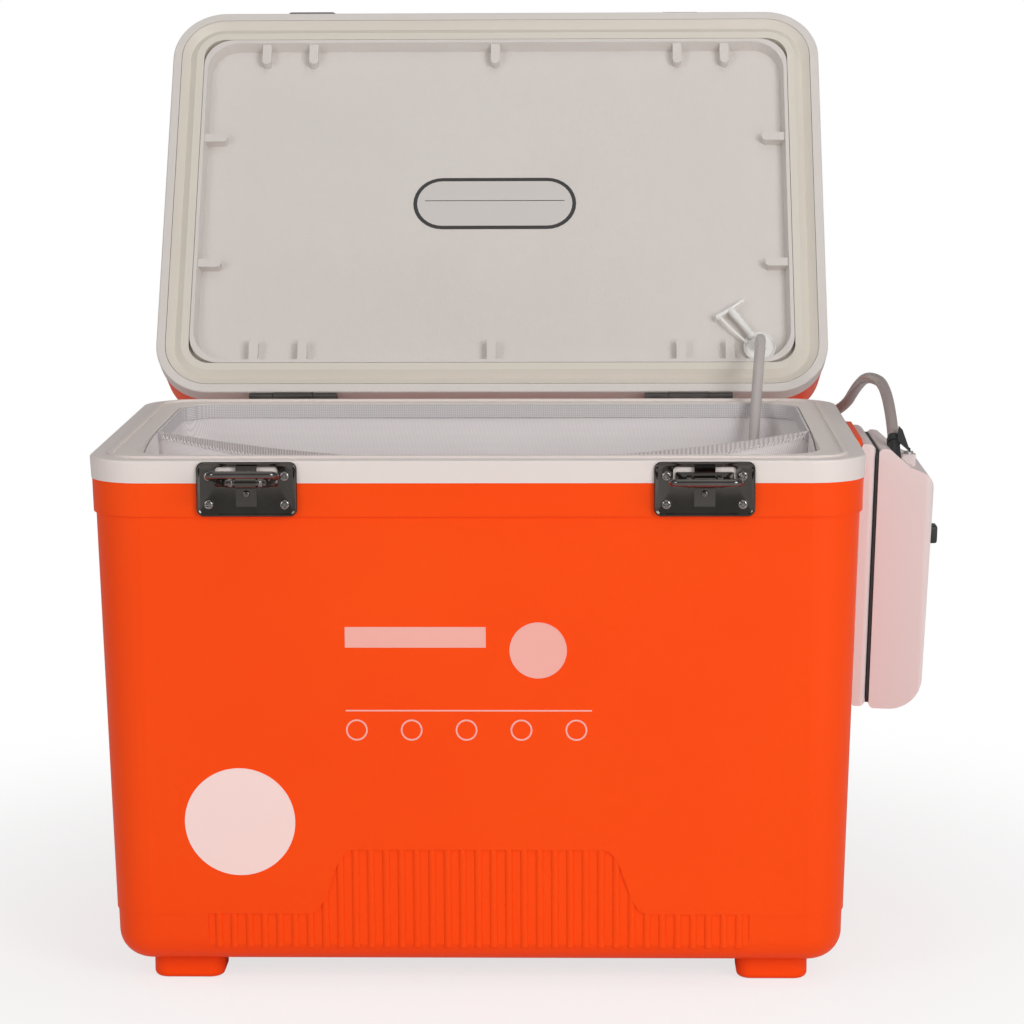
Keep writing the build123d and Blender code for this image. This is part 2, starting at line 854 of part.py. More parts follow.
def latch_clip(side):
    """A folded strip: a riveted foot, an eye round the bail and a tab above it."""
    plane = latch_side_plane(side, -clip_width / 2)
    back = clip_face - bail_hinge_out
    rivet_hole = screw_holes(latch_plane(side), [rivet_place], 6.0)
    with BuildPart() as clip:
        with BuildSketch(plane):
            Circle(bail_wire + bail_gap + clip_thickness)
            with Locations((back + clip_thickness / 2, (tab_rise - foot_fall) / 2)):
                Rectangle(clip_thickness, tab_rise + foot_fall)
            Circle(bail_wire + bail_gap, mode=Mode.SUBTRACT)
        extrude(amount=clip_width)
        add(rivet_hole, mode=Mode.SUBTRACT)
    return clip.part


def latch_bail(side):
    """A closed wire loop, splayed towards its outer bar, at its resting lift."""
    lift = radians(bail_rest_angles[side])
    plane = Plane(
        origin=(sides[side] * latch_spread, bail_axis_y, bail_axis_z),
        x_dir=(1, 0, 0),
        z_dir=(0, sin(lift), cos(lift)),
    )
    with BuildPart() as bail:
        with BuildLine(plane):
            FilletPolyline(
                (0, 0),
                (bail_inner_half, 0),
                (bail_outer_half, -bail_reach),
                (-bail_outer_half, -bail_reach),
                (-bail_inner_half, 0),
                (-0.001, 0),
                radius=[2.2, 3.6, 3.6, 2.2],
            )
        with BuildSketch(Plane(origin=plane.origin, x_dir=(0, 1, 0), z_dir=(1, 0, 0))):
            Circle(bail_wire)
        sweep()
    return bail.part


tab_rise = rim_height - tab_top - bail_axis_z
foot_fall = bail_axis_z - (rim_height - clip_foot)
for side in sides:
    plate = latch_plate(side)
    plate.label = f"latch_plate_{side}"
    export_step(plate, f"parts/latch_plate_{side}.step")
    clip = latch_clip(side)
    clip.label = f"latch_clip_{side}"
    export_step(clip, f"parts/latch_clip_{side}.step")
    bail = latch_bail(side)
    bail.label = f"latch_bail_{side}"
    export_step(bail, f"parts/latch_bail_{side}.step")

with BuildPart() as latch_springs:
    for side in sides:
        for edge in (spring_from + spring_width, -spring_from):
            with BuildSketch(latch_side_plane(side, edge)):
                Circle(bail_wire + bail_gap + spring_thickness)
                Circle(bail_wire + bail_gap, mode=Mode.SUBTRACT)
            extrude(amount=-spring_width)
latch_springs.part.label = "latch_springs"
export_step(latch_springs.part, "parts/latch_springs.step")

with BuildPart() as latch_screws:
    for side in sides:
        screw_face = face_gap + plate_thickness + 0.02
        add(pan_screw(latch_plane(side, screw_face), latch_screw_places))
latch_screws.part.label = "latch_screws"
export_step(latch_screws.part, "parts/latch_screws.step")

with BuildPart() as latch_rivets:
    for side in sides:
        add(pan_screw(latch_plane(side, clip_face + clip_thickness), [rivet_place], 2.2))
latch_rivets.part.label = "latch_rivets"
export_step(latch_rivets.part, "parts/latch_rivets.step")

def lid_keeper(side):
    """A small plate with a tongue for the bail to draw down on."""
    with BuildPart() as keeper:
        with BuildSketch(keeper_plane(side, face_gap)):
            with Locations((0, keeper_drops[side] + keeper_plate_height / 2)):
                RectangleRounded(keeper_width, keeper_plate_height, 2.5)
        extrude(amount=plate_thickness)
        with BuildSketch(keeper_plane(side, face_gap)):
            with Locations((0, keeper_tongue_from + keeper_tongue_thickness / 2)):
                Rectangle(keeper_tongue_width, keeper_tongue_thickness)
        extrude(amount=keeper_reach)
        add(screw_holes(keeper_plane(side, 0), keeper_screw_places, 6.0), mode=Mode.SUBTRACT)
    return keeper.part


for side in sides:
    keeper = lid_keeper(side)
    keeper.label = f"lid_keeper_{side}"
    export_step(keeper, f"parts/lid_keeper_{side}.step")

with BuildPart() as keeper_screws:
    for side in sides:
        screw_face = face_gap + plate_thickness + 0.02
        add(pan_screw(keeper_plane(side, screw_face), keeper_screw_places, short_screw))
keeper_screws.part.label = "keeper_screws"
export_step(keeper_screws.part, "parts/keeper_screws.step")


# --- the air pump on the right wall ---
pump_side = Plane(origin=pump_plane.origin, x_dir=pump_plane.z_dir, z_dir=(0, -1, 0))
pump_plan = Plane(
    origin=pump_plane.from_local_coords((0, -1.5 * pump_height, 0)),
    x_dir=pump_plane.x_dir,
    z_dir=pump_plane.y_dir,
)


def pump_level(out):
    """The pump's wall plane moved this far out of the wall."""
    return Plane(
        origin=pump_plane.from_local_coords((0, 0, out)),
        x_dir=pump_plane.x_dir,
        z_dir=pump_plane.z_dir,
    )


def pump_solid(points, radii, inset=0.0, edge=0.0):
    """A side outline pushed across the pump's width, its outer upright edges rounded."""
    reach = max(out for out, up in points)
    with BuildPart() as solid:
        with BuildSketch(pump_side):
            with BuildLine():
                outline = FilletPolyline(*points, radius=radii)
                Line(outline @ 1, outline @ 0)
            make_face()
            if inset:
                offset(amount=-inset)
        extrude(amount=pump_width / 2 - inset, both=True)
        with BuildSketch(pump_plan):
            RectangleRounded(pump_width - 2 * inset, 2 * (reach - inset), edge)
        extrude(amount=2 * pump_height, mode=Mode.INTERSECT)
    return solid.part


def window_box(out_from, out_to, up_from, up_to, width, centre=0.0):
    """A plain block in the pump's own directions."""
    with BuildPart() as block:
        with BuildSketch(pump_level(out_from)):
            with Locations((centre, (up_from + up_to) / 2)):
                Rectangle(width, up_to - up_from)
        extrude(amount=out_to - out_from)
    return block.part


back_points = [
    (bracket_thickness, -70),
    (bracket_thickness, back_case_bottom),
    (back_case_depth, back_case_bottom),
    (back_case_depth, back_case_top),
    (bracket_thickness, back_case_top),
    (bracket_thickness, -69),
]
front_points = [
    (seam_depth, -70),
    (seam_depth, front_bottom),
    (front_low_depth, front_bottom),
    (front_high_depth, head_end_top),
    (head_step_depth, head_step_top),
    (head_flat_depth, front_top),
    (seam_depth, front_top + 0.6),
    (seam_depth, -69),
]
back_radii = [1.5, 4.0, 4.5, 1.5]
front_radii = [3.0, front_bottom_corner, head_corner, 4.0, 3.0, 3.0]

back_outside = pump_solid(back_points, back_radii, 0.0, 3.5)
back_inside = window_box(
    bracket_thickness + pump_wall,
    back_case_depth + 1,
    back_case_bottom + 2 * pump_wall,
    back_case_top - 3 * pump_wall,
    pump_width - 2 * pump_wall,
)
front_outside = pump_solid(front_points, front_radii, 0.0, pump_edge_radius)
front_inside = pump_solid(front_points, front_radii, pump_wall, pump_edge_radius - pump_wall)
head_block = window_box(seam_depth - 1, front_high_depth + 9, head_split, 20.0, pump_width + 10)
mouth = window_box(
    seam_depth - 1,
    seam_depth + pump_wall + 1,
    front_bottom + 2 * pump_wall,
    front_top - 2 * pump_wall,
    pump_width - 4 * pump_wall,
)

with BuildPart() as pump_bracket:
    with BuildSketch(pump_level(0)):
        with Locations(((bracket_from + bracket_to) / 2 - pump_y, (bracket_top + bracket_bottom) / 2)):
            RectangleRounded(bracket_to - bracket_from, bracket_top - bracket_bottom, 8.0)
    extrude(amount=bracket_thickness)
    with BuildSketch(pump_level(0)):
        with Locations((0, (bracket_pad_top + bracket_bottom + 8) / 2)):
            RectangleRounded(pump_width - 12, bracket_pad_top - bracket_bottom - 8, 6.0)
    extrude(amount=-bracket_pad)
    add(bracket_holes, mode=Mode.SUBTRACT)
    with BuildSketch(bracket_seat):
        with Locations(*bracket_screw_places):
            Circle(screw_head_radius + fit_gap)
    extrude(amount=bracket_thickness, mode=Mode.SUBTRACT)
pump_bracket.part.label = "pump_bracket"
export_step(pump_bracket.part, "parts/pump_bracket.step")

bracket_screws = pan_screw(bracket_seat, bracket_screw_places, 6.4)
bracket_screws.label = "bracket_screws"
export_step(bracket_screws, "parts/bracket_screws.step")

with BuildPart() as pump_back_case:
    add(back_outside)
    add(back_inside, mode=Mode.SUBTRACT)
pump_back_case.part.label = "pump_back_case"
export_step(pump_back_case.part, "parts/pump_back_case.step")

with BuildPart() as pump_seam:
    with BuildSketch(pump_level(back_case_depth)):
        middle = (back_case_bottom + back_case_top) / 2 - 0.9
        with Locations((0, middle)):
            RectangleRounded(
                pump_width - 2 * seam_inset, back_case_top - back_case_bottom - 4.5, 5.0
            )
            RectangleRounded(
                pump_width - 3 * pump_wall,
                back_case_top - back_case_bottom - 4.5 - 2 * pump_wall,
                3.0,
                mode=Mode.SUBTRACT,
            )
    extrude(amount=seam_depth - back_case_depth)
pump_seam.part.label = "pump_seam"
export_step(pump_seam.part, "parts/pump_seam.step")

nozzle_turn = radians(nozzle_lean)
nozzle_origin = pump_plane.from_local_coords((nozzle_y - pump_y, 0, nozzle_depth))
nozzle_dir = Vector(0, sin(nozzle_turn), cos(nozzle_turn))
nozzle_foot = nozzle_origin - nozzle_dir * (nozzle_length - 5.0)
nozzle_plane = Plane(origin=nozzle_foot, x_dir=(1, 0, 0), z_dir=nozzle_dir)
clamp_plane = Plane(
    origin=pump_plane.from_local_coords((nozzle_y - pump_y, head_step_top, clamp_depth)),
    x_dir=pump_plane.x_dir,
    z_dir=pump_plane.y_dir,
)


def nozzle_post(radius, reach):
    """A round post along the nozzle's lean, from inside the head outwards."""
    with BuildPart() as post:
        with BuildSketch(nozzle_plane):
            Circle(radius)
        extrude(amount=reach)
    return post.part


switch_centre = switch_place
slot_height = switch_height + switch_travel + 2 * fit_gap
slot_middle = switch_centre - switch_travel / 2
switch_slot = window_box(
    front_low_depth - 6,
    front_high_depth + 2,
    slot_middle - slot_height / 2,
    slot_middle + slot_height / 2,
    switch_width + 2 * fit_gap,
)

with BuildPart() as pump_cover:
    add(front_outside)
    add(front_inside, mode=Mode.SUBTRACT)
    add(mouth, mode=Mode.SUBTRACT)
    add(head_block, mode=Mode.SUBTRACT)
    add(switch_slot, mode=Mode.SUBTRACT)
pump_cover.part.label = "pump_cover"
export_step(pump_cover.part, "parts/pump_cover.step")

with BuildPart() as pump_head:
    add(front_outside)
    add(front_inside, mode=Mode.SUBTRACT)
    add(mouth, mode=Mode.SUBTRACT)
    add(head_block, mode=Mode.INTERSECT)
    add(nozzle_post(nozzle_radius + pin_gap, nozzle_length + 6), mode=Mode.SUBTRACT)
    add(screw_holes(clamp_plane, [(8.0, 0)], 8.0), mode=Mode.SUBTRACT)
pump_head.part.label = "pump_head"
export_step(pump_head.part, "parts/pump_head.step")

# --- the switch on the pump's outer face ---
slider_inside = front_low_depth - pump_wall + 0.8
with BuildPart() as switch_slider:
    with BuildSketch(pump_level(slider_inside)):
        with Locations((0, switch_centre)):
            RectangleRounded(switch_width, switch_height, 1.5)
    extrude(amount=switch_top_depth - slider_inside)
    with BuildSketch(pump_level(slider_inside - 1.2)):
        with Locations((0, switch_centre)):
            RectangleRounded(switch_width + 3.0, switch_height + 3.0, 1.5)
    extrude(amount=1.2)
switch_slider.part.label = "switch_slider"
export_step(switch_slider.part, "parts/switch_slider.step")

with BuildPart() as switch_body:
    with BuildSketch(pump_level(slider_inside - 1.2 - fit_gap)):
        with Locations((0, slot_middle)):
            RectangleRounded(switch_width + 6.0, slot_height + 6.0, 1.5)
    extrude(amount=-4.0)
switch_body.part.label = "switch_body"
export_step(switch_body.part, "parts/switch_body.step")

# --- what the pump holds: two cells, their contacts, the motor and its air unit ---
with BuildPart() as cells:
    with BuildSketch(Plane(
        origin=pump_plane.from_local_coords((0, cell_bottom, cell_depth)),
        x_dir=pump_plane.x_dir,
        z_dir=pump_plane.y_dir,
    )):
        with GridLocations(cell_spacing, 1, 2, 1):
            Circle(cell_radius)
    extrude(amount=cell_length - 1.5)
    with BuildSketch(Plane(
        origin=pump_plane.from_local_coords((0, cell_bottom + cell_length - 1.5, cell_depth)),
        x_dir=pump_plane.x_dir,
        z_dir=pump_plane.y_dir,
    )):
        with GridLocations(cell_spacing, 1, 2, 1):
            Circle(4.6)
    extrude(amount=1.5)
cells.part.label = "battery_cells"
export_step(cells.part, "parts/battery_cells.step")

with BuildPart() as contacts:
    add(window_box(
        cell_depth - 7, cell_depth + 7, cell_bottom - 0.9, cell_bottom - 0.3, 2 * cell_spacing - 8
    ))
    add(window_box(
        cell_depth - 7,
        cell_depth + 7,
        cell_bottom + cell_length + 0.3,
        cell_bottom + cell_length + 0.9,
        2 * cell_spacing - 8,
    ))
contacts.part.label = "battery_contacts"
export_step(contacts.part, "parts/battery_contacts.step")

motor_up = cell_bottom + cell_length + motor_radius + 4.0
with BuildPart() as motor:
    with BuildSketch(Plane(
        origin=pump_plane.from_local_coords((-motor_length / 2 - 8.0, motor_up, motor_depth)),
        x_dir=pump_plane.y_dir,
        z_dir=pump_plane.x_dir,
    )):
        Circle(motor_radius)
    extrude(amount=motor_length)
motor.part.label = "pump_motor"
export_step(motor.part, "parts/pump_motor.step")

air_unit_from = motor_up + motor_radius + face_gap
air_unit_back = bracket_thickness + pump_wall + face_gap
with BuildPart() as air_unit:
    add(window_box(
        air_unit_back,
        air_unit_back + air_unit_depth,
        air_unit_from,
        air_unit_from + air_unit_height,
        air_unit_width,
    ))
    fillet(air_unit.edges(), 2.0)
air_unit.part.label = "air_unit"
export_step(air_unit.part, "parts/air_unit.step")


# --- the black outlet nozzle with its lever fin, and the white clamp over its foot ---
fin_plane = Plane(
    origin=nozzle_origin, x_dir=pump_plane.z_dir, z_dir=(0, -1, 0)
)
with BuildPart() as air_nozzle:
    add(nozzle_post(nozzle_radius, nozzle_length + 1.0))
    with BuildSketch(nozzle_plane.offset(nozzle_length - 4.0)):
        Circle(nozzle_radius + 0.5)
    extrude(amount=3.0)
    with BuildSketch(fin_plane):
        Polygon(
            (1.5, 0.0),
            (2.2, 10.5),
            (4.4, 8.5),
            (8.2, -1.2),
            (9.2, -1.8),
            (9.2, -4.0),
            (3.0, 1.0),
            align=None,
        )
    extrude(amount=fin_thickness / 2, both=True)
    add(front_outside, mode=Mode.SUBTRACT)
    add(nozzle_post(nozzle_radius, nozzle_length - 2.0))
air_nozzle.part.label = "air_nozzle"
export_step(air_nozzle.part, "parts/air_nozzle.step")
nozzle_end = nozzle_plane.from_local_coords((0, 0, nozzle_length + 1.0))

with BuildPart() as nozzle_clamp:
    with BuildSketch(Plane(
        origin=clamp_plane.from_local_coords((8.0, 0, -3.0)),
        x_dir=clamp_plane.x_dir,
        z_dir=clamp_plane.z_dir,
    )):
        RectangleRounded(clamp_size, clamp_size, 1.0)
    extrude(amount=clamp_height + 3.0)
    add(front_outside, mode=Mode.SUBTRACT)
    add(screw_holes(clamp_plane, [(8.0, 0)], 9.0), mode=Mode.SUBTRACT)
nozzle_clamp.part.label = "nozzle_clamp"
export_step(nozzle_clamp.part, "parts/nozzle_clamp.step")

clamp_screw = pan_screw(clamp_plane.offset(clamp_height), [(8.0, 0)], 7.0)
clamp_screw.label = "nozzle_clamp_screw"
export_step(clamp_screw, "parts/nozzle_clamp_screw.step")


# --- the air line: hose, the port through the lid, tube and stone ---
lid_out = lid_level(lid_height)
port_outer = lid_out.from_local_coords((port_x, port_y, 0))
port_inner = lid_level(recess_depth).from_local_coords((port_x, port_y, 0))
turn = radians(elbow_turn)
elbow_dir = lid_out.x_dir * sin(turn) + lid_out.y_dir * cos(turn)
elbow_centre = port_outer + lid_out.z_dir * elbow_rise
elbow_end = elbow_centre + elbow_dir * elbow_run
port_nose_end = port_inner - lid_out.z_dir * (port_flange + port_nose)

with BuildPart() as lid_port:
    with BuildSketch(lid_level(recess_depth)):
        with Locations((port_x, port_y)):
            Circle(port_stem_radius)
    extrude(amount=lid_height - recess_depth)
    with BuildSketch(lid_level(recess_depth, -1)):
        with Locations((port_x, -port_y)):
            Circle(port_flange_radius)
    extrude(amount=port_flange)
    with BuildSketch(lid_level(recess_depth - port_flange, -1)):
        with Locations((port_x, -port_y)):
            Circle(hose_radius + 1.0)
    extrude(amount=port_nose)
lid_port.part.label = "lid_port"
export_step(lid_port.part, "parts/lid_port.step")

with BuildPart() as port_elbow:
    with BuildSketch(lid_level(lid_height)):
        with Locations((port_x, port_y)):
            Circle(port_flange_radius)
    extrude(amount=port_flange)
    with BuildSketch(lid_level(lid_height)):
        with Locations((port_x, port_y)):
            Circle(port_stem_radius)
    extrude(amount=elbow_rise + port_stem_radius)
    with BuildSketch(Plane(origin=elbow_centre, x_dir=lid_out.z_dir, z_dir=elbow_dir)):
        Circle(hose_radius + 1.0)
    extrude(amount=elbow_run)
port_elbow.part.label = "port_elbow"
export_step(port_elbow.part, "parts/port_elbow.step")


def tube_solid(points, sink=""):
    """A round flexible tube along straight runs joined by easy bends."""
    points = [Vector(p) for p in points]
    runs = [(b - a).length for a, b in zip(points, points[1:])]
    radii = []
    for a, b, c, first, second in zip(points, points[1:], points[2:], runs, runs[1:]):
        half_turn = radians((b - a).get_angle(c - b)) / 2
        radii.append(0.45 * min(first, second) / tan(half_turn))
    print(sink, [round(r, 1) for r in radii], "length", round(sum(runs), 1))
    with BuildPart() as tube:
        with BuildLine():
            FilletPolyline(*points, radius=radii)
        with BuildSketch(Plane(origin=points[0], z_dir=points[1] - points[0])):
            Circle(hose_radius)
        sweep()
    print(sink, "swept length", round(tube.part.volume / (3.14159265 * hose_radius**2), 1))
    return tube.part


hose_points = [
    nozzle_end,
    nozzle_end + nozzle_dir * 40.0,
    (223.0, 78.0, 309.5),
    (221.5, 142.0, 295.5),
    (217.0, 176.0, 278.0),
    elbow_end + elbow_dir * 30.0,
    elbow_end,
]
tube_points = [
    port_nose_end,
    port_nose_end - lid_out.z_dir * 20.0,
    (160.0, 109.0, 303.0),
    (156.5, 89.0, 265.0),
    (155.0, 87.0, 205.0),
    (152.0, 84.0, 150.0),
    (146.0, 77.0, 104.0),
    (136.0, 66.0, 64.0),
    (117.0, 50.0, 59.0),
    (98.0, 34.5, 57.2),
]
air_hose = tube_solid(hose_points, "hose")
air_hose.label = "air_hose"
export_step(air_hose, "parts/air_hose.step")
air_tube = tube_solid(tube_points, "tube")
air_tube.label = "air_tube"
export_step(air_tube, "parts/air_tube.step")

stone_dir = (Vector(tube_points[-1]) - Vector(tube_points[-2])).normalized()
with BuildPart() as air_stone:
    with BuildSketch(Plane(origin=tube_points[-1], z_dir=stone_dir)):
        Circle(stone_radius)
    extrude(amount=stone_length)
    fillet(air_stone.edges(), 1.5)
air_stone.part.label = "air_stone"
export_step(air_stone.part, "parts/air_stone.step")


# --- the spare stopper lying on the lid's panel, tied to the port ---
stopper_level = lid_level(recess_depth - plug_radius - fit_gap)
plug_from = stopper_level.from_local_coords((plug_start_x, back_y - plug_start_from_back, 0))
plug_to = stopper_level.from_local_coords((plug_end_x, back_y - plug_end_from_back, 0))
plug_dir = (plug_to - plug_from).normalized()
handle_dir = plug_dir.cross(lid_out.z_dir).normalized()
with BuildPart() as stopper:
    with BuildSketch(Plane(origin=plug_from, x_dir=handle_dir, z_dir=plug_dir)):
        Circle(plug_radius)
    extrude(amount=(plug_to - plug_from).length)
    with BuildSketch(Plane(origin=plug_from - handle_dir * handle_length / 2, z_dir=handle_dir)):
        Circle(handle_radius)
    extrude(amount=handle_length)
stopper.part.label = "stopper"
export_step(stopper.part, "parts/stopper.step")


# --- the net bag with its hem sagging across the front ---
def net_outline(inset, half, rear, side_y, middle_y):
    """A bag's plan: straight sides and back with cut corners, and a slack front."""
    cut = net_cut
    half = half - inset
    rear = rear - inset
    side_y = side_y + inset / 2
    middle_y = middle_y + inset
    slack_y = side_y + 0.72 * (middle_y - side_y)
    right = [
        (0, middle_y),
        (half / 2, slack_y),
        (half, side_y),
        (half, rear - cut),
        (half - cut, rear),
    ]
    left = [(-x, y) for x, y in reversed(right[1:])]
    return right + left


def net_ring(thickness, low, high):
    """The bag's upright upper wall."""
    plan = (net_half_top, net_rear_top, net_front_side, net_front_sag)
    with BuildPart() as ring:
        with BuildSketch(level(low)):
            Polygon(*net_outline(0.0, *plan), align=None)
            Polygon(*net_outline(thickness, *plan), align=None, mode=Mode.SUBTRACT)
        extrude(amount=high - low)
    return ring.part


net_rim = rim_height - net_rim_drop


def slack_front(top_drop, low_drop):
    """The space ahead of the side ends, between two copies of the slack front curve."""
    half = net_half_top + 5

    def slack(drop):
        return (-half, net_rim - drop), (0, net_rim - drop - hem_sag), (half, net_rim - drop)

    with BuildPart() as band:
        with BuildSketch(Plane.XZ.offset(-net_front_side)):
            with BuildLine():
                upper = ThreePointArc(*slack(top_drop))
                lower = ThreePointArc(*slack(low_drop))
                Line(upper @ 0, lower @ 0)
                Line(upper @ 1, lower @ 1)
            make_face()
        extrude(amount=rim_depth)
    return band.part


hem_front_band = slack_front(0.0, hem_height)
above_bag = slack_front(-20.0, hem_height)
front_half = Pos(0, net_front_side - rim_depth / 2, net_rim) * Box(rim_width, rim_depth, 60.0)
hem_front = net_ring(hem_thickness, net_skirt_top, net_rim) & hem_front_band
hem_back = net_ring(hem_thickness, net_rim - hem_height, net_rim) - front_half
with BuildPart() as net_hem:
    add(hem_back)
    add(hem_front)
net_hem.part.label = "net_hem"
export_step(net_hem.part, "parts/net_hem.step")


def net_volume(inset, floor):
    """The bag's inside or outside shape, from its floor up to the upright wall."""
    top = (net_half_top, net_rear_top, net_front_side, net_front_sag)
    bottom = (net_half_floor, net_rear_floor, 6 - net_rear_floor, -net_rear_floor)
    with BuildPart() as volume:
        with BuildSketch(level(net_skirt_top)):
            Polygon(*net_outline(inset, *top), align=None)
        with BuildSketch(level(floor)):
            Polygon(*net_outline(inset, *bottom), align=None)
        loft(ruled=True)
    return volume.part


with BuildPart() as net_bag:
    add(net_ring(net_thickness, net_skirt_top, net_rim - hem_height))
    add(above_bag, mode=Mode.SUBTRACT)
    add(net_volume(0.0, net_floor))
    add(net_volume(net_thickness, net_floor + net_thickness), mode=Mode.SUBTRACT)
net_bag.part.label = "net_bag"
export_step(net_bag.part, "parts/net_bag.step")


# --- thin labels ---
def wall_label(name, shapes):
    """Thin printed pieces lying on the front wall."""
    with BuildPart() as label:
        with BuildSketch(front_wall.offset(label_lift)):
            for x, height, radius, inner in shapes:
                with Locations((x, down_wall(height))):
                    Circle(radius)
                    if inner:
                        Circle(inner, mode=Mode.SUBTRACT)
        extrude(amount=label_thickness)
    label.part.label = name
    export_step(label.part, f"parts/{name}.step")


wall_label("seal_label", [(seal_x, seal_height, seal_radius, 0)])
wall_label("size_label", [(size_mark_x, size_mark_height, size_mark_radius, 0)])
ring_places = [first_ring_x + i * ring_pitch for i in range(ring_count)]
wall_label("ring_marks", [(x, ring_height, ring_outer, ring_inner) for x in ring_places])

with BuildPart() as lid_label:
    with BuildSketch(lid_level(recess_depth - label_lift, -1)):
        with Locations((lid_label_x, -(back_y - lid_label_from_back))):
            Ellipse(lid_label_half_width, lid_label_half_height)
    extrude(amount=label_thickness)
lid_label.part.label = "lid_label"
export_step(lid_label.part, "parts/lid_label.step")
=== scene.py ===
import math
import random

import bmesh
import bpy
from mathutils import Matrix, Vector


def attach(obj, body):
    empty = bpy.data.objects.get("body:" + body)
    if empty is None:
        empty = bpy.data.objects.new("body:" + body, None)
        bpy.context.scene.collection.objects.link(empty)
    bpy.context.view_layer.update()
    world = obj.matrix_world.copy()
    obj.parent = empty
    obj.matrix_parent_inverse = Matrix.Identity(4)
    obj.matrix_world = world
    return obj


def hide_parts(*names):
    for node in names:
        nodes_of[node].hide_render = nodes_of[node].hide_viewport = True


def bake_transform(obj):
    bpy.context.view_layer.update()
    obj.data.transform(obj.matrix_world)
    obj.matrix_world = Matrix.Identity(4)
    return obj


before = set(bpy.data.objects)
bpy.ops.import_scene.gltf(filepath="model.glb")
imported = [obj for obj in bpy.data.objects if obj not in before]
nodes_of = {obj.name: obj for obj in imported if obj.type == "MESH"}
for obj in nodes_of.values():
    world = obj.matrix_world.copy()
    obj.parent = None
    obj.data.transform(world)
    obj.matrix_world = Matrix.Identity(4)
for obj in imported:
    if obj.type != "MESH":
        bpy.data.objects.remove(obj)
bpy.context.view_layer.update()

MM = 0.001


# ---------------------------------------------------------------------------
# The view: a long lens nearly two metres off, a little above the rim and square
# to the front of the box.
# ---------------------------------------------------------------------------
camera_place = Vector((0.0589, -1.8207, 0.5246))
camera_yaw = math.radians(-1.35)
camera_pitch = math.radians(8.86)
camera_roll = math.radians(-0.23)
camera_lens = 114.44
camera_sensor = 36.0

look = Vector(
    (
        math.sin(camera_yaw) * math.cos(camera_pitch),
        math.cos(camera_yaw) * math.cos(camera_pitch),
        -math.sin(camera_pitch),
    )
)
level_right = Vector((math.cos(camera_yaw), -math.sin(camera_yaw), 0.0))
level_up = level_right.cross(look)
right = level_right * math.cos(camera_roll) + level_up * math.sin(camera_roll)
up = level_up * math.cos(camera_roll) - level_right * math.sin(camera_roll)
camera_data = bpy.data.cameras.new("bench_camera")
camera_data.lens = camera_lens
camera_data.sensor_width = camera_sensor
camera_data.clip_end = 60.0
camera = bpy.data.objects.new("bench_camera", camera_data)
bpy.context.scene.collection.objects.link(camera)
turn = Matrix((right, up, -look)).transposed().to_4x4()
camera.matrix_world = Matrix.Translation(camera_place) @ turn
bpy.context.scene.camera = camera


# ---------------------------------------------------------------------------
# The bench: a white paper sweep with a weak soft box overhead and one at each
# front corner, the right one the stronger, for the plating to mirror.
# ---------------------------------------------------------------------------
def soft_box(name, place, aim, width, height, watts):
    """A rectangular area lamp at a place, turned to face another."""
    lamp = bpy.data.lights.new(name, "AREA")
    lamp.shape = "RECTANGLE"
    lamp.size = width
    lamp.size_y = height
    lamp.energy = watts
    holder = bpy.data.objects.new(name, lamp)
    bpy.context.scene.collection.objects.link(holder)
    facing = (Vector(aim) - Vector(place)).to_track_quat("-Z", "Y")
    holder.matrix_world = Matrix.Translation(place) @ facing.to_matrix().to_4x4()


soft_box("overhead_box", (0.1, -0.35, 1.75), (0.0, 0.0, 0.15), 1.5, 1.1, 3.5)
soft_box("front_right_box", (1.2, -1.7, 0.95), (0.0, -0.05, 0.2), 0.9, 1.1, 21.0)
soft_box("front_left_box", (-1.35, -1.5, 0.9), (0.0, -0.05, 0.2), 0.8, 1.1, 8.5)

world = bpy.data.worlds.new("bench_air")
bpy.context.scene.world = world
world.use_nodes = True
air = world.node_tree
air.nodes.clear()
air_out = air.nodes.new("ShaderNodeOutputWorld")
air_mix = air.nodes.new("ShaderNodeMixShader")
air_fill = air.nodes.new("ShaderNodeBackground")
air_fill.inputs["Color"].default_value = (1.0, 0.99, 0.98, 1.0)
air_fill.inputs["Strength"].default_value = 0.30
air_white = air.nodes.new("ShaderNodeBackground")
air_white.inputs["Color"].default_value = (1.0, 1.0, 1.0, 1.0)
air_white.inputs["Strength"].default_value = 1.0
air_rays = air.nodes.new("ShaderNodeLightPath")
air.links.new(air_rays.outputs["Is Camera Ray"], air_mix.inputs["Fac"])
air.links.new(air_fill.outputs[0], air_mix.inputs[1])
air.links.new(air_white.outputs[0], air_mix.inputs[2])
air.links.new(air_mix.outputs[0], air_out.inputs["Surface"])
bpy.context.scene.view_settings.view_transform = "Standard"

sweep_half = 9.0
sweep_below = 0.0004
sweep_mesh = bpy.data.meshes.new("bench_sweep")
sweep_mesh.from_pydata(
    [
        (-sweep_half, -sweep_half, 0.0),
        (sweep_half, -sweep_half, 0.0),
        (sweep_half, sweep_half, 0.0),
        (-sweep_half, sweep_half, 0.0),
    ],
    [],
    [(0, 1, 2, 3)],
)
sweep = bpy.data.objects.new("bench_sweep", sweep_mesh)
bpy.context.scene.collection.objects.link(sweep)
sweep.location.z = -sweep_below
sweep_paint = bpy.data.materials.new("bench_paper")
sweep_paint.use_nodes = True
paper = sweep_paint.node_tree
paper.nodes.clear()
paper_out = paper.nodes.new("ShaderNodeOutputMaterial")
paper_mix = paper.nodes.new("ShaderNodeMixShader")
paper_matt = paper.nodes.new("ShaderNodeBsdfDiffuse")
paper_matt.inputs["Color"].default_value = (0.93, 0.93, 0.93, 1.0)
paper_glow = paper.nodes.new("ShaderNodeEmission")
paper_glow.inputs["Strength"].default_value = 1.0
paper_place = paper.nodes.new("ShaderNodeTexCoord")
paper_length = paper.nodes.new("ShaderNodeVectorMath")
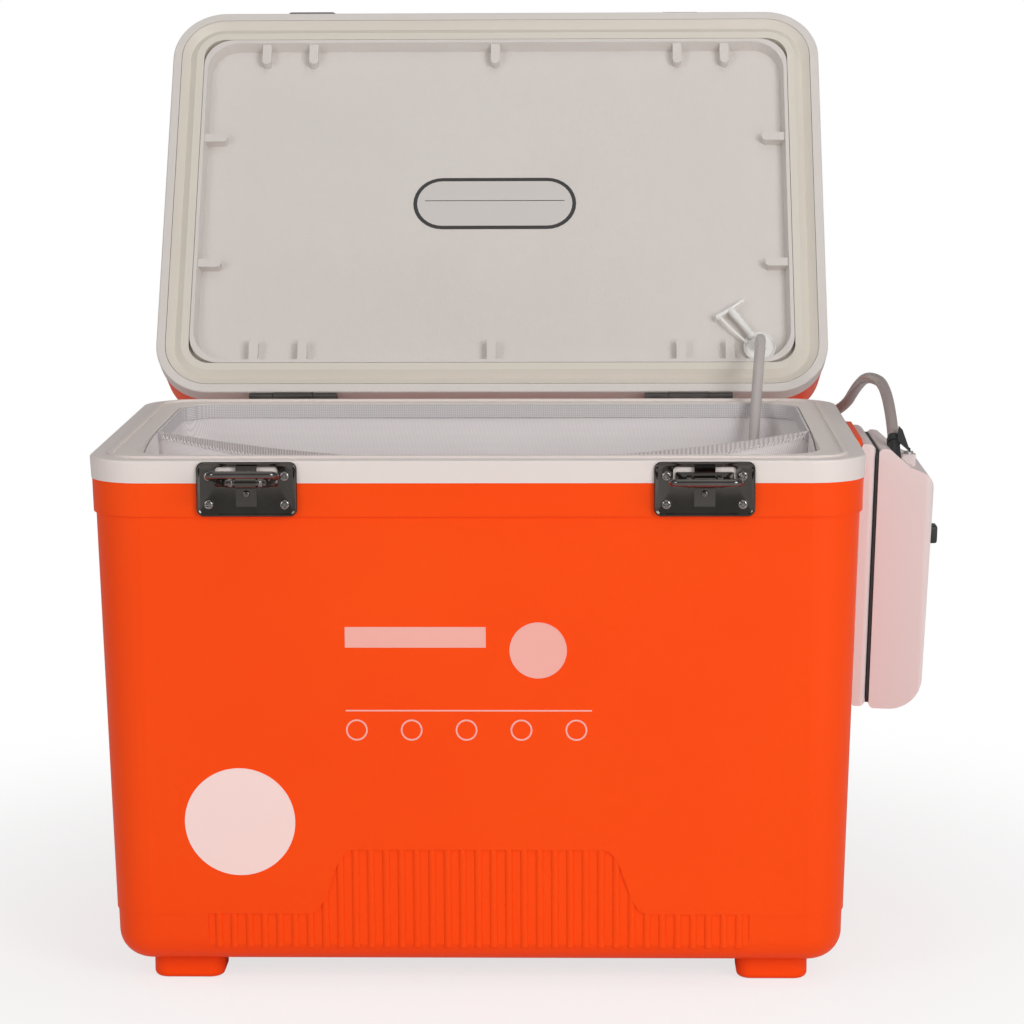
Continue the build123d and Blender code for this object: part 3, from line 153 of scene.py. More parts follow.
paper_length.operation = "LENGTH"
paper_ramp = paper.nodes.new("ShaderNodeMapRange")
paper_ramp.interpolation_type = "SMOOTHSTEP"
paper_ramp.inputs["From Min"].default_value = 0.16
paper_ramp.inputs["From Max"].default_value = 0.62
paper_ramp.inputs["To Min"].default_value = 0.72
paper_rays = paper.nodes.new("ShaderNodeLightPath")
paper_fac = paper.nodes.new("ShaderNodeMath")
paper_fac.operation = "MULTIPLY"
paper.links.new(paper_place.outputs["Object"], paper_length.inputs[0])
paper.links.new(paper_length.outputs["Value"], paper_ramp.inputs["Value"])
paper.links.new(paper_ramp.outputs["Result"], paper_fac.inputs[0])
paper.links.new(paper_rays.outputs["Is Camera Ray"], paper_fac.inputs[1])
paper.links.new(paper_fac.outputs[0], paper_mix.inputs["Fac"])
paper.links.new(paper_matt.outputs[0], paper_mix.inputs[1])
paper.links.new(paper_glow.outputs[0], paper_mix.inputs[2])
paper.links.new(paper_mix.outputs[0], paper_out.inputs["Surface"])
sweep.data.materials.append(sweep_paint)


# ---------------------------------------------------------------------------
# The shell: body and lid covers in rotationally moulded orange polyethylene,
# satin from the mould, with the faint waxy mottle and mould grain of that plastic.
# ---------------------------------------------------------------------------
def effect_group(name, inputs, outputs):
    """A shader node group with named number inputs and outputs, and its tree."""
    tree = bpy.data.node_groups.new(name, "ShaderNodeTree")
    for label, default in inputs:
        socket = tree.interface.new_socket(label, in_out="INPUT", socket_type="NodeSocketFloat")
        socket.default_value = default
    for label in outputs:
        tree.interface.new_socket(label, in_out="OUTPUT", socket_type="NodeSocketFloat")
    return tree, tree.nodes.new("NodeGroupInput"), tree.nodes.new("NodeGroupOutput")


mould_skin, skin_in, skin_out = effect_group(
    "mould_skin",
    [("Grain Scale", 900.0), ("Mottle Scale", 9.0), ("Grain Amount", 0.5)],
    ["Height", "Mottle"],
)
skin_place = mould_skin.nodes.new("ShaderNodeTexCoord")
skin_grain = mould_skin.nodes.new("ShaderNodeTexNoise")
skin_grain.inputs["Detail"].default_value = 2.0
skin_peel = mould_skin.nodes.new("ShaderNodeTexNoise")
skin_peel.inputs["Scale"].default_value = 120.0
skin_peel.inputs["Detail"].default_value = 1.0
skin_cloud = mould_skin.nodes.new("ShaderNodeTexNoise")
skin_cloud.inputs["Detail"].default_value = 3.0
skin_mix = mould_skin.nodes.new("ShaderNodeMath")
skin_mix.operation = "MULTIPLY_ADD"
mould_skin.links.new(skin_place.outputs["Object"], skin_grain.inputs["Vector"])
mould_skin.links.new(skin_place.outputs["Object"], skin_peel.inputs["Vector"])
mould_skin.links.new(skin_place.outputs["Object"], skin_cloud.inputs["Vector"])
mould_skin.links.new(skin_in.outputs["Grain Scale"], skin_grain.inputs["Scale"])
mould_skin.links.new(skin_in.outputs["Mottle Scale"], skin_cloud.inputs["Scale"])
mould_skin.links.new(skin_grain.outputs["Fac"], skin_mix.inputs[0])
mould_skin.links.new(skin_in.outputs["Grain Amount"], skin_mix.inputs[1])
mould_skin.links.new(skin_peel.outputs["Fac"], skin_mix.inputs[2])
mould_skin.links.new(skin_mix.outputs[0], skin_out.inputs["Height"])
mould_skin.links.new(skin_cloud.outputs["Fac"], skin_out.inputs["Mottle"])


def moulded_plastic(name, low, high, roughness, bump, grain=900.0, mottle=9.0, amount=0.5):
    """Moulded plastic between two close colours, with the skin's grain in its surface."""
    paint = bpy.data.materials.new(name)
    paint.use_nodes = True
    tree = paint.node_tree
    shell = tree.nodes["Principled BSDF"]
    skin = tree.nodes.new("ShaderNodeGroup")
    skin.node_tree = mould_skin
    skin.inputs["Grain Scale"].default_value = grain
    skin.inputs["Mottle Scale"].default_value = mottle
    skin.inputs["Grain Amount"].default_value = amount
    blend = tree.nodes.new("ShaderNodeMix")
    blend.data_type = "RGBA"
    blend.inputs["A"].default_value = (*low, 1.0)
    blend.inputs["B"].default_value = (*high, 1.0)
    gloss = tree.nodes.new("ShaderNodeMapRange")
    gloss.inputs["From Min"].default_value = 0.3
    gloss.inputs["From Max"].default_value = 0.7
    gloss.inputs["To Min"].default_value = roughness - 0.05
    gloss.inputs["To Max"].default_value = roughness + 0.06
    relief = tree.nodes.new("ShaderNodeBump")
    relief.inputs["Strength"].default_value = bump
    relief.inputs["Distance"].default_value = 0.0004
    tree.links.new(skin.outputs["Mottle"], blend.inputs["Factor"])
    tree.links.new(blend.outputs["Result"], shell.inputs["Base Color"])
    tree.links.new(skin.outputs["Mottle"], gloss.inputs["Value"])
    tree.links.new(gloss.outputs["Result"], shell.inputs["Roughness"])
    tree.links.new(skin.outputs["Height"], relief.inputs["Height"])
    tree.links.new(relief.outputs["Normal"], shell.inputs["Normal"])
    return paint


def dress(material, *names):
    """Gives CAD nodes their finish, in every material slot they have."""
    for name in names:
        mesh = nodes_of[name].data
        if not mesh.materials:
            mesh.materials.append(material)
        for place in range(len(mesh.materials)):
            mesh.materials[place] = material


orange_plastic = moulded_plastic(
    "orange_plastic", (0.965, 0.062, 0.002), (1.0, 0.082, 0.003), 0.34, 0.12
)
orange_plastic.node_tree.nodes["Principled BSDF"].inputs["Specular IOR Level"].default_value = 0.14
dress(orange_plastic, "body_shell", "lid_shell", "pump_bracket")


# ---------------------------------------------------------------------------
# The liner: the tub with its rim band, and the lid's inner tray, in white
# polyethylene, duller inside the lid where the mould was textured. The pink cast
# in the tub's white is a painted reflection of the orange shell. The foam
# poured between the skins is cream.
# ---------------------------------------------------------------------------
# The tub's white is tinted pink: a painted reflection of the orange shell beside it.
white_plastic_painted_bounce = moulded_plastic(
    "white_plastic_painted_bounce", (0.77, 0.69, 0.655), (0.80, 0.72, 0.685), 0.40, 0.10
)
tray_plastic = moulded_plastic(
    "tray_plastic", (0.69, 0.64, 0.605), (0.74, 0.69, 0.655), 0.5, 0.45,
    grain=1400.0, mottle=14.0, amount=1.2,
)
dress(white_plastic_painted_bounce, "body_liner")
dress(tray_plastic, "lid_liner")
foam_cream = moulded_plastic("foam_cream", (0.80, 0.72, 0.45), (0.86, 0.79, 0.55), 0.8, 0.6)
dress(foam_cream, "body_foam", "lid_foam")


# ---------------------------------------------------------------------------
# The seal: an extruded cream rubber ring with a vee groove, pressed into a
# groove all round the lid's edge.
# ---------------------------------------------------------------------------
seal_rubber = moulded_plastic(
    "seal_rubber", (0.70, 0.645, 0.565), (0.755, 0.70, 0.62), 0.45, 0.08, grain=500.0
)
dress(seal_rubber, "lid_gasket")


# ---------------------------------------------------------------------------
# The latches: pressed steel plates with a rolled edge and a window for the
# folded clip, plated nearly black and mirror bright. The wire bails and the
# keepers on the lid are plated a shade lighter.
# ---------------------------------------------------------------------------
polish_lines, polish_in, polish_out = effect_group(
    "polish_lines", [("Line Scale", 300.0), ("Smear Scale", 40.0)], ["Lines", "Smear"]
)
polish_place = polish_lines.nodes.new("ShaderNodeTexCoord")
polish_stretch = polish_lines.nodes.new("ShaderNodeMapping")
polish_stretch.inputs["Scale"].default_value = (0.05, 1.0, 1.0)
polish_noise = polish_lines.nodes.new("ShaderNodeTexNoise")
polish_smear = polish_lines.nodes.new("ShaderNodeTexNoise")
polish_smear.inputs["Detail"].default_value = 4.0
polish_lines.links.new(polish_place.outputs["Object"], polish_stretch.inputs["Vector"])
polish_lines.links.new(polish_stretch.outputs["Vector"], polish_noise.inputs["Vector"])
polish_lines.links.new(polish_place.outputs["Object"], polish_smear.inputs["Vector"])
polish_lines.links.new(polish_in.outputs["Line Scale"], polish_noise.inputs["Scale"])
polish_lines.links.new(polish_in.outputs["Smear Scale"], polish_smear.inputs["Scale"])
polish_lines.links.new(polish_noise.outputs["Fac"], polish_out.inputs["Lines"])
polish_lines.links.new(polish_smear.outputs["Fac"], polish_out.inputs["Smear"])


def plated_metal(name, low, high, smooth, rough, bump):
    """Plated steel whose gloss wanders between two roughnesses."""
    paint = bpy.data.materials.new(name)
    paint.use_nodes = True
    tree = paint.node_tree
    metal = tree.nodes["Principled BSDF"]
    metal.inputs["Metallic"].default_value = 1.0
    polish = tree.nodes.new("ShaderNodeGroup")
    polish.node_tree = polish_lines
    polish.inputs["Line Scale"].default_value = 900.0
    polish.inputs["Smear Scale"].default_value = 60.0
    blend = tree.nodes.new("ShaderNodeMix")
    blend.data_type = "RGBA"
    blend.inputs["A"].default_value = (*low, 1.0)
    blend.inputs["B"].default_value = (*high, 1.0)
    gloss = tree.nodes.new("ShaderNodeMapRange")
    gloss.inputs["From Min"].default_value = 0.3
    gloss.inputs["From Max"].default_value = 0.7
    gloss.inputs["To Min"].default_value = smooth
    gloss.inputs["To Max"].default_value = rough
    relief = tree.nodes.new("ShaderNodeBump")
    relief.inputs["Strength"].default_value = bump
    relief.inputs["Distance"].default_value = 0.0002
    tree.links.new(polish.outputs["Smear"], blend.inputs["Factor"])
    tree.links.new(blend.outputs["Result"], metal.inputs["Base Color"])
    tree.links.new(polish.outputs["Smear"], gloss.inputs["Value"])
    tree.links.new(gloss.outputs["Result"], metal.inputs["Roughness"])
    tree.links.new(polish.outputs["Lines"], relief.inputs["Height"])
    tree.links.new(relief.outputs["Normal"], metal.inputs["Normal"])
    return paint


def finished_piece(name, points, faces, material, body, sharp=35.0):
    """A mesh piece with even outward faces, smooth but for its sharp edges."""
    mesh = bpy.data.meshes.new(name)
    mesh.from_pydata([tuple(p) for p in points], [], faces)
    shape = bmesh.new()
    shape.from_mesh(mesh)
    bmesh.ops.recalc_face_normals(shape, faces=shape.faces)
    shape.to_mesh(mesh)
    shape.free()
    for face in mesh.polygons:
        face.use_smooth = True
    mesh.set_sharp_from_angle(angle=math.radians(sharp))
    mesh.materials.append(material)
    piece = bpy.data.objects.new(name, mesh)
    bpy.context.scene.collection.objects.link(piece)
    if body:
        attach(piece, body)
    return piece


def ring_faces(rings, around, start=0, closed=False):
    """Faces between rings of the same number of points, numbered from start."""
    faces = []
    for ring in range(rings if closed else rings - 1):
        after = (ring + 1) % rings
        for step in range(around):
            beside = (step + 1) % around
            faces.append(
                (
                    start + ring * around + step,
                    start + ring * around + beside,
                    start + after * around + beside,
                    start + after * around + step,
                )
            )
    return faces


corner_steps = 8
loop_points = 4 * (corner_steps + 1)


def rounded_loop(width, height, radius):
    """Points round a rectangle with rounded corners."""
    points = []
    for side, end, first in ((1, 1, 0), (-1, 1, 90), (-1, -1, 180), (1, -1, 270)):
        for step in range(corner_steps + 1):
            angle = math.radians(first + 90 * step / corner_steps)
            points.append(
                (
                    side * (width / 2 - radius) + radius * math.cos(angle),
                    end * (height / 2 - radius) + radius * math.sin(angle),
                )
            )
    return points


dark_chrome = plated_metal(
    "dark_chrome", (0.075, 0.069, 0.063), (0.13, 0.12, 0.11), 0.07, 0.15, 0.03
)
bright_chrome = plated_metal(
    "bright_chrome", (0.22, 0.205, 0.195), (0.32, 0.30, 0.285), 0.10, 0.2, 0.05
)
latch_sides = (("left", -120.0), ("right", 120.0))
rim_front = 135.5
plate_middle = 274.0
wing_middle = 279.3


def pressed_points(plate_x, middle, steps):
    """Rings of points for a pressing: width, height, corner, how far out and how far up."""
    return [
        Vector((plate_x + x, -rim_front - out, middle + rise + z)) * MM
        for width, height, radius, out, rise in steps
        for x, z in rounded_loop(width, height, radius)
    ]


plate_steps = (
    (53.0, 29.0, 4.0, 0.05, 0.0),
    (53.0, 29.0, 4.0, 0.8, 0.0),
    (52.7, 28.7, 3.9, 1.25, 0.0),
    (52.2, 28.2, 3.7, 1.6, 0.0),
    (51.5, 27.5, 3.3, 1.78, 0.0),
    (50.7, 26.7, 2.9, 1.72, 0.0),
    (49.9, 25.9, 2.5, 1.48, 0.0),
    (49.2, 25.2, 2.1, 1.28, 0.0),
    (48.8, 24.8, 1.9, 1.25, 0.0),
    (33.4, 10.9, 2.2, 1.25, 6.55),
    (33.0, 10.5, 2.0, 1.1, 6.55),
    (33.0, 10.5, 2.0, 0.05, 6.55),
)
for side, plate_x in latch_sides:
    plate = finished_piece(
        f"pressed_plate_{side}",
        pressed_points(plate_x, plate_middle, plate_steps),
        ring_faces(len(plate_steps), loop_points, closed=True),
        dark_chrome,
        "base",
    )
    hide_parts(f"latch_plate_{side}")
wire_chrome = plated_metal(
    "wire_chrome", (0.11, 0.10, 0.095), (0.18, 0.168, 0.16), 0.05, 0.12, 0.03
)
dress(dark_chrome, "latch_clip_left", "latch_clip_right")
dress(wire_chrome, "latch_bail_left", "latch_bail_right", "lid_keeper_left", "lid_keeper_right")
wing_steps = (
    (30.4, 7.4, 0.8, 0.12, 0.0),
    (30.4, 7.4, 0.8, 0.6, 0.0),
    (29.8, 6.8, 0.6, 0.85, 0.0),
    (0.4, 0.4, 0.1, 0.85, 0.0),
)
for side, plate_x in latch_sides:
    finished_piece(
        f"clip_wing_{side}",
        pressed_points(plate_x, wing_middle, wing_steps),
        ring_faces(len(wing_steps), loop_points),
        dark_chrome,
        "base",
    )


# ---------------------------------------------------------------------------
# The hinges: rolled steel leaves on a steel pin, in a dull dark plating, at the
# back of the rim.
# ---------------------------------------------------------------------------
hinge_steel = plated_metal(
    "hinge_steel", (0.07, 0.066, 0.062), (0.13, 0.12, 0.115), 0.25, 0.4, 0.1
)
dress(hinge_steel, "hinge_body_leaves", "hinge_lid_leaves", "hinge_pins")


# ---------------------------------------------------------------------------
# The screws: small pan heads with a cross recess, rolled thread below, each
# turned home to where it happened to bite. The rivets have plain heads.
# ---------------------------------------------------------------------------
head_around = 40
shank_radius = 1.4
cross_half_width = 0.42
cross_reach = 1.55
cross_depth = 0.85
cross_slope_from = 1.7
cross_slope_run = 0.6


def loose_pieces(node):
    """The corners of every separate piece in a CAD node."""
    shape = bmesh.new()
    shape.from_mesh(nodes_of[node].data)
    bmesh.ops.remove_doubles(shape, verts=shape.verts, dist=1e-6)
    left = set(shape.verts)
    found = []
    while left:
        waiting = [left.pop()]
        piece = []
        while waiting:
            corner = waiting.pop()
            piece.append(corner.co.copy())
            for edge in corner.link_edges:
                other = edge.other_vert(corner)
                if other in left:
                    left.discard(other)
                    waiting.append(other)
        found.append(piece)
    shape.free()
    return sorted(found, key=lambda piece: (round(piece[0].x, 4), round(piece[0].z, 4)))


def pan_screws(name, node, out, material, body, head_radius=2.7, head_height=1.3, cross=True):
    """Pan heads on their shanks, in the places of a CAD node's plain ones."""
    out = Vector(out).normalized()
    side = Vector((1.0, 0.0, 0.0))
    top = out.cross(side)
    turns = random.Random(len(node))
    points = []
    faces = []
    for piece in loose_pieces(node):
        across = [corner.dot(side) for corner in piece]
        upward = [corner.dot(top) for corner in piece]
        deep = [corner.dot(out) for corner in piece]
        centre = side * (min(across) + max(across)) / 2 + top * (min(upward) + max(upward)) / 2
        seat = max(deep) - head_height * MM
        bite = turns.uniform(0, math.pi / 2)
        start = len(points)
        steps = [
            (0.001, min(deep)), (shank_radius, min(deep)), (shank_radius, seat), (head_radius, seat)
        ]
        for share in (0.97, 0.9, 0.8, 0.68, 0.56, 0.46, 0.38, 0.3, 0.22, 0.14, 0.07, 0.001):
            dome = head_height * (1 - share**4) ** 0.5
            steps.append((head_radius * share, seat + dome * MM))
        for radius, level in steps:
            for step in range(head_around):
                angle = 2 * math.pi * step / head_around
                x, y = radius * math.cos(angle), radius * math.sin(angle)
                sink = 0.0
                if cross and level > seat:
                    arm = min(abs(x), abs(y))
                    reach = max(abs(x), abs(y))
                    if arm < cross_half_width and reach < cross_reach:
                        slope = min(1.0, (cross_slope_from - reach) / cross_slope_run)
                        sink = cross_depth * slope * MM
                turned_x = x * math.cos(bite) - y * math.sin(bite)
                turned_y = x * math.sin(bite) + y * math.cos(bite)
                points.append(
                    centre + side * turned_x * MM + top * turned_y * MM + out * (level - sink)
                )
        faces += ring_faces(len(steps), head_around, start)
    screws = finished_piece(name, points, faces, material, body, sharp=40.0)
    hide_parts(node)


lid_along = Vector((0.0, -0.54464, -0.83867))
lid_outward = Vector((0.0, 0.83867, -0.54464))
pan_screws("plate_screws", "latch_screws", (0, -1, 0), bright_chrome, "base")
pan_screws("plate_rivets", "latch_rivets", (0, -1, 0), wire_chrome, "base", 1.9, 0.9, cross=False)
pan_screws("hinge_screws_low", "hinge_body_screws", (0, 1, 0), hinge_steel, "base")
pan_screws("hinge_screws_high", "hinge_lid_screws", lid_along, hinge_steel, "lid")
pan_screws("lid_screws", "keeper_screws", -lid_along, bright_chrome, "lid")
plain_steel = plated_metal("plain_steel", (0.45, 0.45, 0.44), (0.6, 0.6, 0.59), 0.25, 0.4, 0.1)
dress(plain_steel, "bracket_screws", "nozzle_clamp_screw")


# ---------------------------------------------------------------------------
# The springs: wound steel wire on each bail's axle, two to a latch, between the
# clip and the window's sides, that hold the bail up.
# ---------------------------------------------------------------------------
def swept_tube(line, outer, around, inner=0.0):
    """Points and faces of a round tube along a line, carried without twist."""
    line = [Vector(point) for point in line]
    heading = (line[1] - line[0]).normalized()
    across = heading.orthogonal().normalized()
    outside = []
    inside = []
    for place, point in enumerate(line):
        before = line[max(place - 1, 0)]
        after = line[min(place + 1, len(line) - 1)]
        heading = (after - before).normalized()
        across = (across - heading * across.dot(heading)).normalized()
        aside = heading.cross(across)
        for step in range(around):
            angle = 2 * math.pi * step / around
            spoke = across * math.cos(angle) + aside * math.sin(angle)
            outside.append(point + spoke * outer)
            inside.append(point + spoke * inner)
    count = len(line)
    faces = ring_faces(count, around)
    if inner:
        bore = len(outside)
        faces += [tuple(reversed(face)) for face in ring_faces(count, around, bore)]
        for end, flip in ((0, True), ((count - 1) * around, False)):
            for step in range(around):
                beside = (step + 1) % around
                lip = (end + step, end + beside, bore + end + beside, bore + end + step)
                faces.append(tuple(reversed(lip)) if flip else lip)
        return outside + inside, faces
    faces.append(tuple(range(around)))
    faces.append(tuple(range((count - 1) * around, count * around)))
    return outside, faces


axle_y = -139.9
axle_height = 278.0
coil_radius = 2.45
coil_from = 6.75
coil_run = 2.3
coil_steps = 48
steps_per_turn = 14
spring_wire_radius = 0.48
spring_points = []
spring_faces = []
for _, plate_x in latch_sides:
    for side in (-1, 1):
        coil = []
        for step in range(coil_steps + 1):
            angle = 2 * math.pi * step / steps_per_turn
            along = plate_x + side * (coil_from + coil_run * step / coil_steps)
            y = axle_y + coil_radius * math.cos(angle)
            z = axle_height + coil_radius * math.sin(angle)
            coil.append(Vector((along, y, z)) * MM)
        points, faces = swept_tube(coil, spring_wire_radius * MM, 8)
        shift = len(spring_points)
        spring_points += points
        spring_faces += [tuple(shift + corner for corner in face) for face in faces]
springs = finished_piece("wound_springs", spring_points, spring_faces, bright_chrome, "base")
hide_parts("latch_springs")


# ---------------------------------------------------------------------------
# The pump: two white ABS halves with a black seam gasket, a head cover that
# lifts off along its part line, and a black slide switch on the outer face.
# Two wrapped cells and a small motor fill it.
# ---------------------------------------------------------------------------
pump_plastic = moulded_plastic(
    "pump_plastic", (0.77, 0.66, 0.645), (0.80, 0.69, 0.675), 0.32, 0.06
)
dress(pump_plastic, "pump_back_case", "pump_cover", "pump_head", "nozzle_clamp")
black_plastic = moulded_plastic(
    "black_plastic", (0.012, 0.012, 0.013), (0.02, 0.02, 0.021), 0.45, 0.3
)
dress(black_plastic, "pump_seam", "switch_body", "air_nozzle", "air_unit")
knob_y = -5.0
knob_height = 229.35
pump_face_slope = 0.03
# Rings from the slider's base out: width, height, corner and the place along x.
knob_steps = (
    (15.0, 13.0, 1.5, 243.15),
    (15.0, 13.0, 1.5, 244.3),
    (12.0, 10.0, 1.5, 244.3),
    (12.0, 10.0, 1.5, 253.9),
    (11.6, 9.6, 1.5, 254.8),
    (10.4, 8.4, 1.3, 255.2),
    (0.4, 0.4, 0.1, 255.0),
)
knob_points = []
for width, height, radius, out in knob_steps:
    for along, rise in rounded_loop(width, height, radius):
        x = out + pump_face_slope * rise
        knob_points.append(Vector((x, knob_y + along, knob_height + rise)) * MM)
knob_faces = ring_faces(len(knob_steps), loop_points) + [tuple(range(loop_points))]
slide_knob = finished_piece("slide_knob", knob_points, knob_faces, black_plastic, "switch")
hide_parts("switch_slider")
cell_wrap = moulded_plastic("cell_wrap", (0.05, 0.05, 0.06), (0.07, 0.07, 0.08), 0.3, 0.05)
dress(cell_wrap, "battery_cells")
dress(plain_steel, "battery_contacts", "pump_motor")


# ---------------------------------------------------------------------------
# The port: a white nylon elbow through the lid with a dished flange inside, and
# the spare stopper that hangs from it on a thin moulded strap.
# ---------------------------------------------------------------------------
hinge_y = 139.6
hinge_height = 289.1
lid_gap = 0.2


def lid_point(x, y, depth):
    """A place on the open lid, from its plan when closed and the depth above its face."""
    on_hinge = Vector((x, hinge_y, hinge_height))
    return (on_hinge + lid_along * (y - hinge_y) + lid_outward * (lid_gap + depth)) * MM


milky_plastic = moulded_plastic("milky_plastic", (0.84, 0.82, 0.79), (0.90, 0.88, 0.85), 0.3, 0.1)
dress(milky_plastic, "lid_port", "port_elbow")
plug_start = lid_point(146.3, 77.3, 3.5)
plug_end = lid_point(160.8, 97.5, 3.5)
plug_way = (plug_end - plug_start).normalized()
handle_way = plug_way.cross(lid_outward).normalized()
stopper_points = []
stopper_faces = []


def add_turned(start, way, profile, around=28):
    """A turned piece added to the stopper: radius and distance along its axis."""
    way = way.normalized()
    across = way.orthogonal().normalized()
    aside = way.cross(across)
    shift = len(stopper_points)
    for radius, along in profile:
        for step in range(around):
            angle = 2 * math.pi * step / around
            spoke = (across * math.cos(angle) + aside * math.sin(angle)) * radius * MM
            stopper_points.append(start + way * along * MM + spoke)
    stopper_faces.extend(ring_faces(len(profile), around, shift))


plug_profile = (
    (0.01, 0.6), (2.0, 0.6), (2.4, 1.4), (2.4, 8.0), (2.1, 9.0),
    (2.1, 21.0), (2.6, 21.6), (2.6, 23.4), (2.1, 24.2), (0.01, 24.4),
)
add_turned(plug_start, plug_way, plug_profile)
handle_thick_end = -10.8
handle_thin_end = 10.2
handle_radius = 1.05
handle_swell = 0.95
handle_profile = [(0.01, handle_thick_end)]
for step in range(13):
    along = handle_thick_end + 1.75 * step
    swell = handle_swell * max(0.0, along / handle_thick_end) ** 1.5
    handle_profile.append((handle_radius + swell, along))
handle_profile.append((0.01, handle_thin_end))
add_turned(plug_start, handle_way, handle_profile, 20)
strap_half_width = 0.7
strap_half_thickness = 0.35
strap_bow_aside = 0.9
strap_bow_in = 0.8
strap_steps = 24
strap_line = []
strap_from = plug_start - handle_way * 8.4 * MM
strap_to = lid_point(156.4, 99.6, 5.4)
for step in range(strap_steps + 1):
    share = step / strap_steps
    point = strap_from.lerp(strap_to, share)
    bow = math.sin(math.pi * share)
    point -= handle_way * strap_bow_aside * bow * MM
    point -= lid_outward * strap_bow_in * bow * MM
    strap_line.append(point)
strap_start = len(stopper_points)
for place, point in enumerate(strap_line):
    ahead = strap_line[min(place + 1, strap_steps)] - strap_line[max(place - 1, 0)]
    broad = ahead.cross(lid_outward).normalized() * strap_half_width * MM
    thick = lid_outward * strap_half_thickness * MM
    for side, face in ((1, 1), (-1, 1), (-1, -1), (1, -1)):
        stopper_points.append(point + broad * side + thick * face)
strap_last = len(stopper_points) - 4
stopper_faces.extend(ring_faces(strap_steps + 1, 4, strap_start))
stopper_faces.append(tuple(range(strap_start, strap_start + 4)))
stopper_faces.append(tuple(range(strap_last, strap_last + 4)))
spare_stopper = finished_piece(
    "spare_stopper", stopper_points, stopper_faces, milky_plastic, "lid", 40.0
)
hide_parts("stopper")
port_x = 164.0
port_y = 102.5
dish_around = 48
dish_profile = (
    (8.05, 6.9), (9.0, 6.2), (9.7, 5.4), (9.9, 4.9), (9.5, 4.9), (8.9, 5.6), (8.05, 6.1)
)
dish_points = []
for radius, depth in dish_profile:
    for step in range(dish_around):
        angle = 2 * math.pi * step / dish_around
        x = port_x + radius * math.cos(angle)
        y = port_y + radius * math.sin(angle)
        dish_points.append(lid_point(x, y, depth))
dish_faces = ring_faces(len(dish_profile), dish_around, closed=True)
finished_piece("port_dish", dish_points, dish_faces, milky_plastic, "lid")


# ---------------------------------------------------------------------------
# The air lines: clear vinyl tube gone milky, pushed over its barbs. One runs
# from the pump up behind the lid, the other down into the bag to a stone of
# bonded grit.
# ---------------------------------------------------------------------------
def drawn_line(name, route):
    """The smooth line that a soft tube takes through its route points."""
    data = bpy.data.curves.new(name, "CURVE")
    data.dimensions = "3D"
    data.resolution_u = 14
    spline = data.splines.new("NURBS")
    spline.points.add(len(route) - 1)
    for point, place in zip(spline.points, route):
        point.co = (*[value * MM for value in place], 1.0)
    spline.order_u = 3
    spline.use_endpoint_u = True
    holder = bpy.data.objects.new(name, data)
    mesh = bpy.data.meshes.new_from_object(holder)
    line = [corner.co.copy() for corner in mesh.vertices]
    bpy.data.meshes.remove(mesh)
    bpy.data.objects.remove(holder)
    bpy.data.curves.remove(data)
    kept = [line[0]]
    for point in line[1:]:
        if (point - kept[-1]).length > 1e-5:
            kept.append(point)
    return kept


hose_vinyl = moulded_plastic("hose_vinyl", (0.40, 0.325, 0.31), (0.47, 0.39, 0.375), 0.22, 0.05)
drop_vinyl = moulded_plastic("drop_vinyl", (0.62, 0.57, 0.55), (0.70, 0.65, 0.63), 0.22, 0.05)
for vinyl in (hose_vinyl, drop_vinyl):
    vinyl_shell = vinyl.node_tree.nodes["Principled BSDF"]
    vinyl_shell.inputs["Transmission Weight"].default_value = 0.25
    vinyl_shell.inputs["IOR"].default_value = 1.4
vinyl_radius = 3.175
vinyl_bore = 2.1
vinyl_around = 20
hose_line = drawn_line(
    "hose_route",
    (
        (228.14, -27.27, 287.05),
        (228.14, 4.25, 311.68),
        (223.0, 78.0, 309.5),
        (221.5, 142.0, 295.5),
        (217.0, 176.0, 278.0),
        (193.70, 188.25, 266.33),
        (172.49, 199.80, 284.12),
    ),
)
hose_tube = swept_tube(hose_line, vinyl_radius * MM, vinyl_around, vinyl_bore * MM)
hose = finished_piece("air_supply_hose", *hose_tube, hose_vinyl, None)
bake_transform(hose)
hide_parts("air_hose")
tube_line = drawn_line(
    "tube_route",
    (
        (164.0, 161.65, 319.02),
        (164.0, 144.88, 329.91),
        (160.0, 109.0, 303.0),
        (156.5, 89.0, 265.0),
        (155.0, 87.0, 205.0),
        (152.0, 84.0, 150.0),
        (146.0, 77.0, 104.0),
        (136.0, 66.0, 64.0),
        (117.0, 50.0, 59.0),
        (98.0, 34.5, 57.2),
    ),
)
drop_tube = swept_tube(tube_line, vinyl_radius * MM, vinyl_around, vinyl_bore * MM)
tube = finished_piece("air_drop_tube", *drop_tube, drop_vinyl, None)
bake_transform(tube)
stone_grit = moulded_plastic(
    "stone_grit", (0.16, 0.22, 0.3), (0.28, 0.34, 0.42), 0.9, 0.9, grain=2500.0, amount=3.0
)
dress(stone_grit, "air_stone")
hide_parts("air_tube")


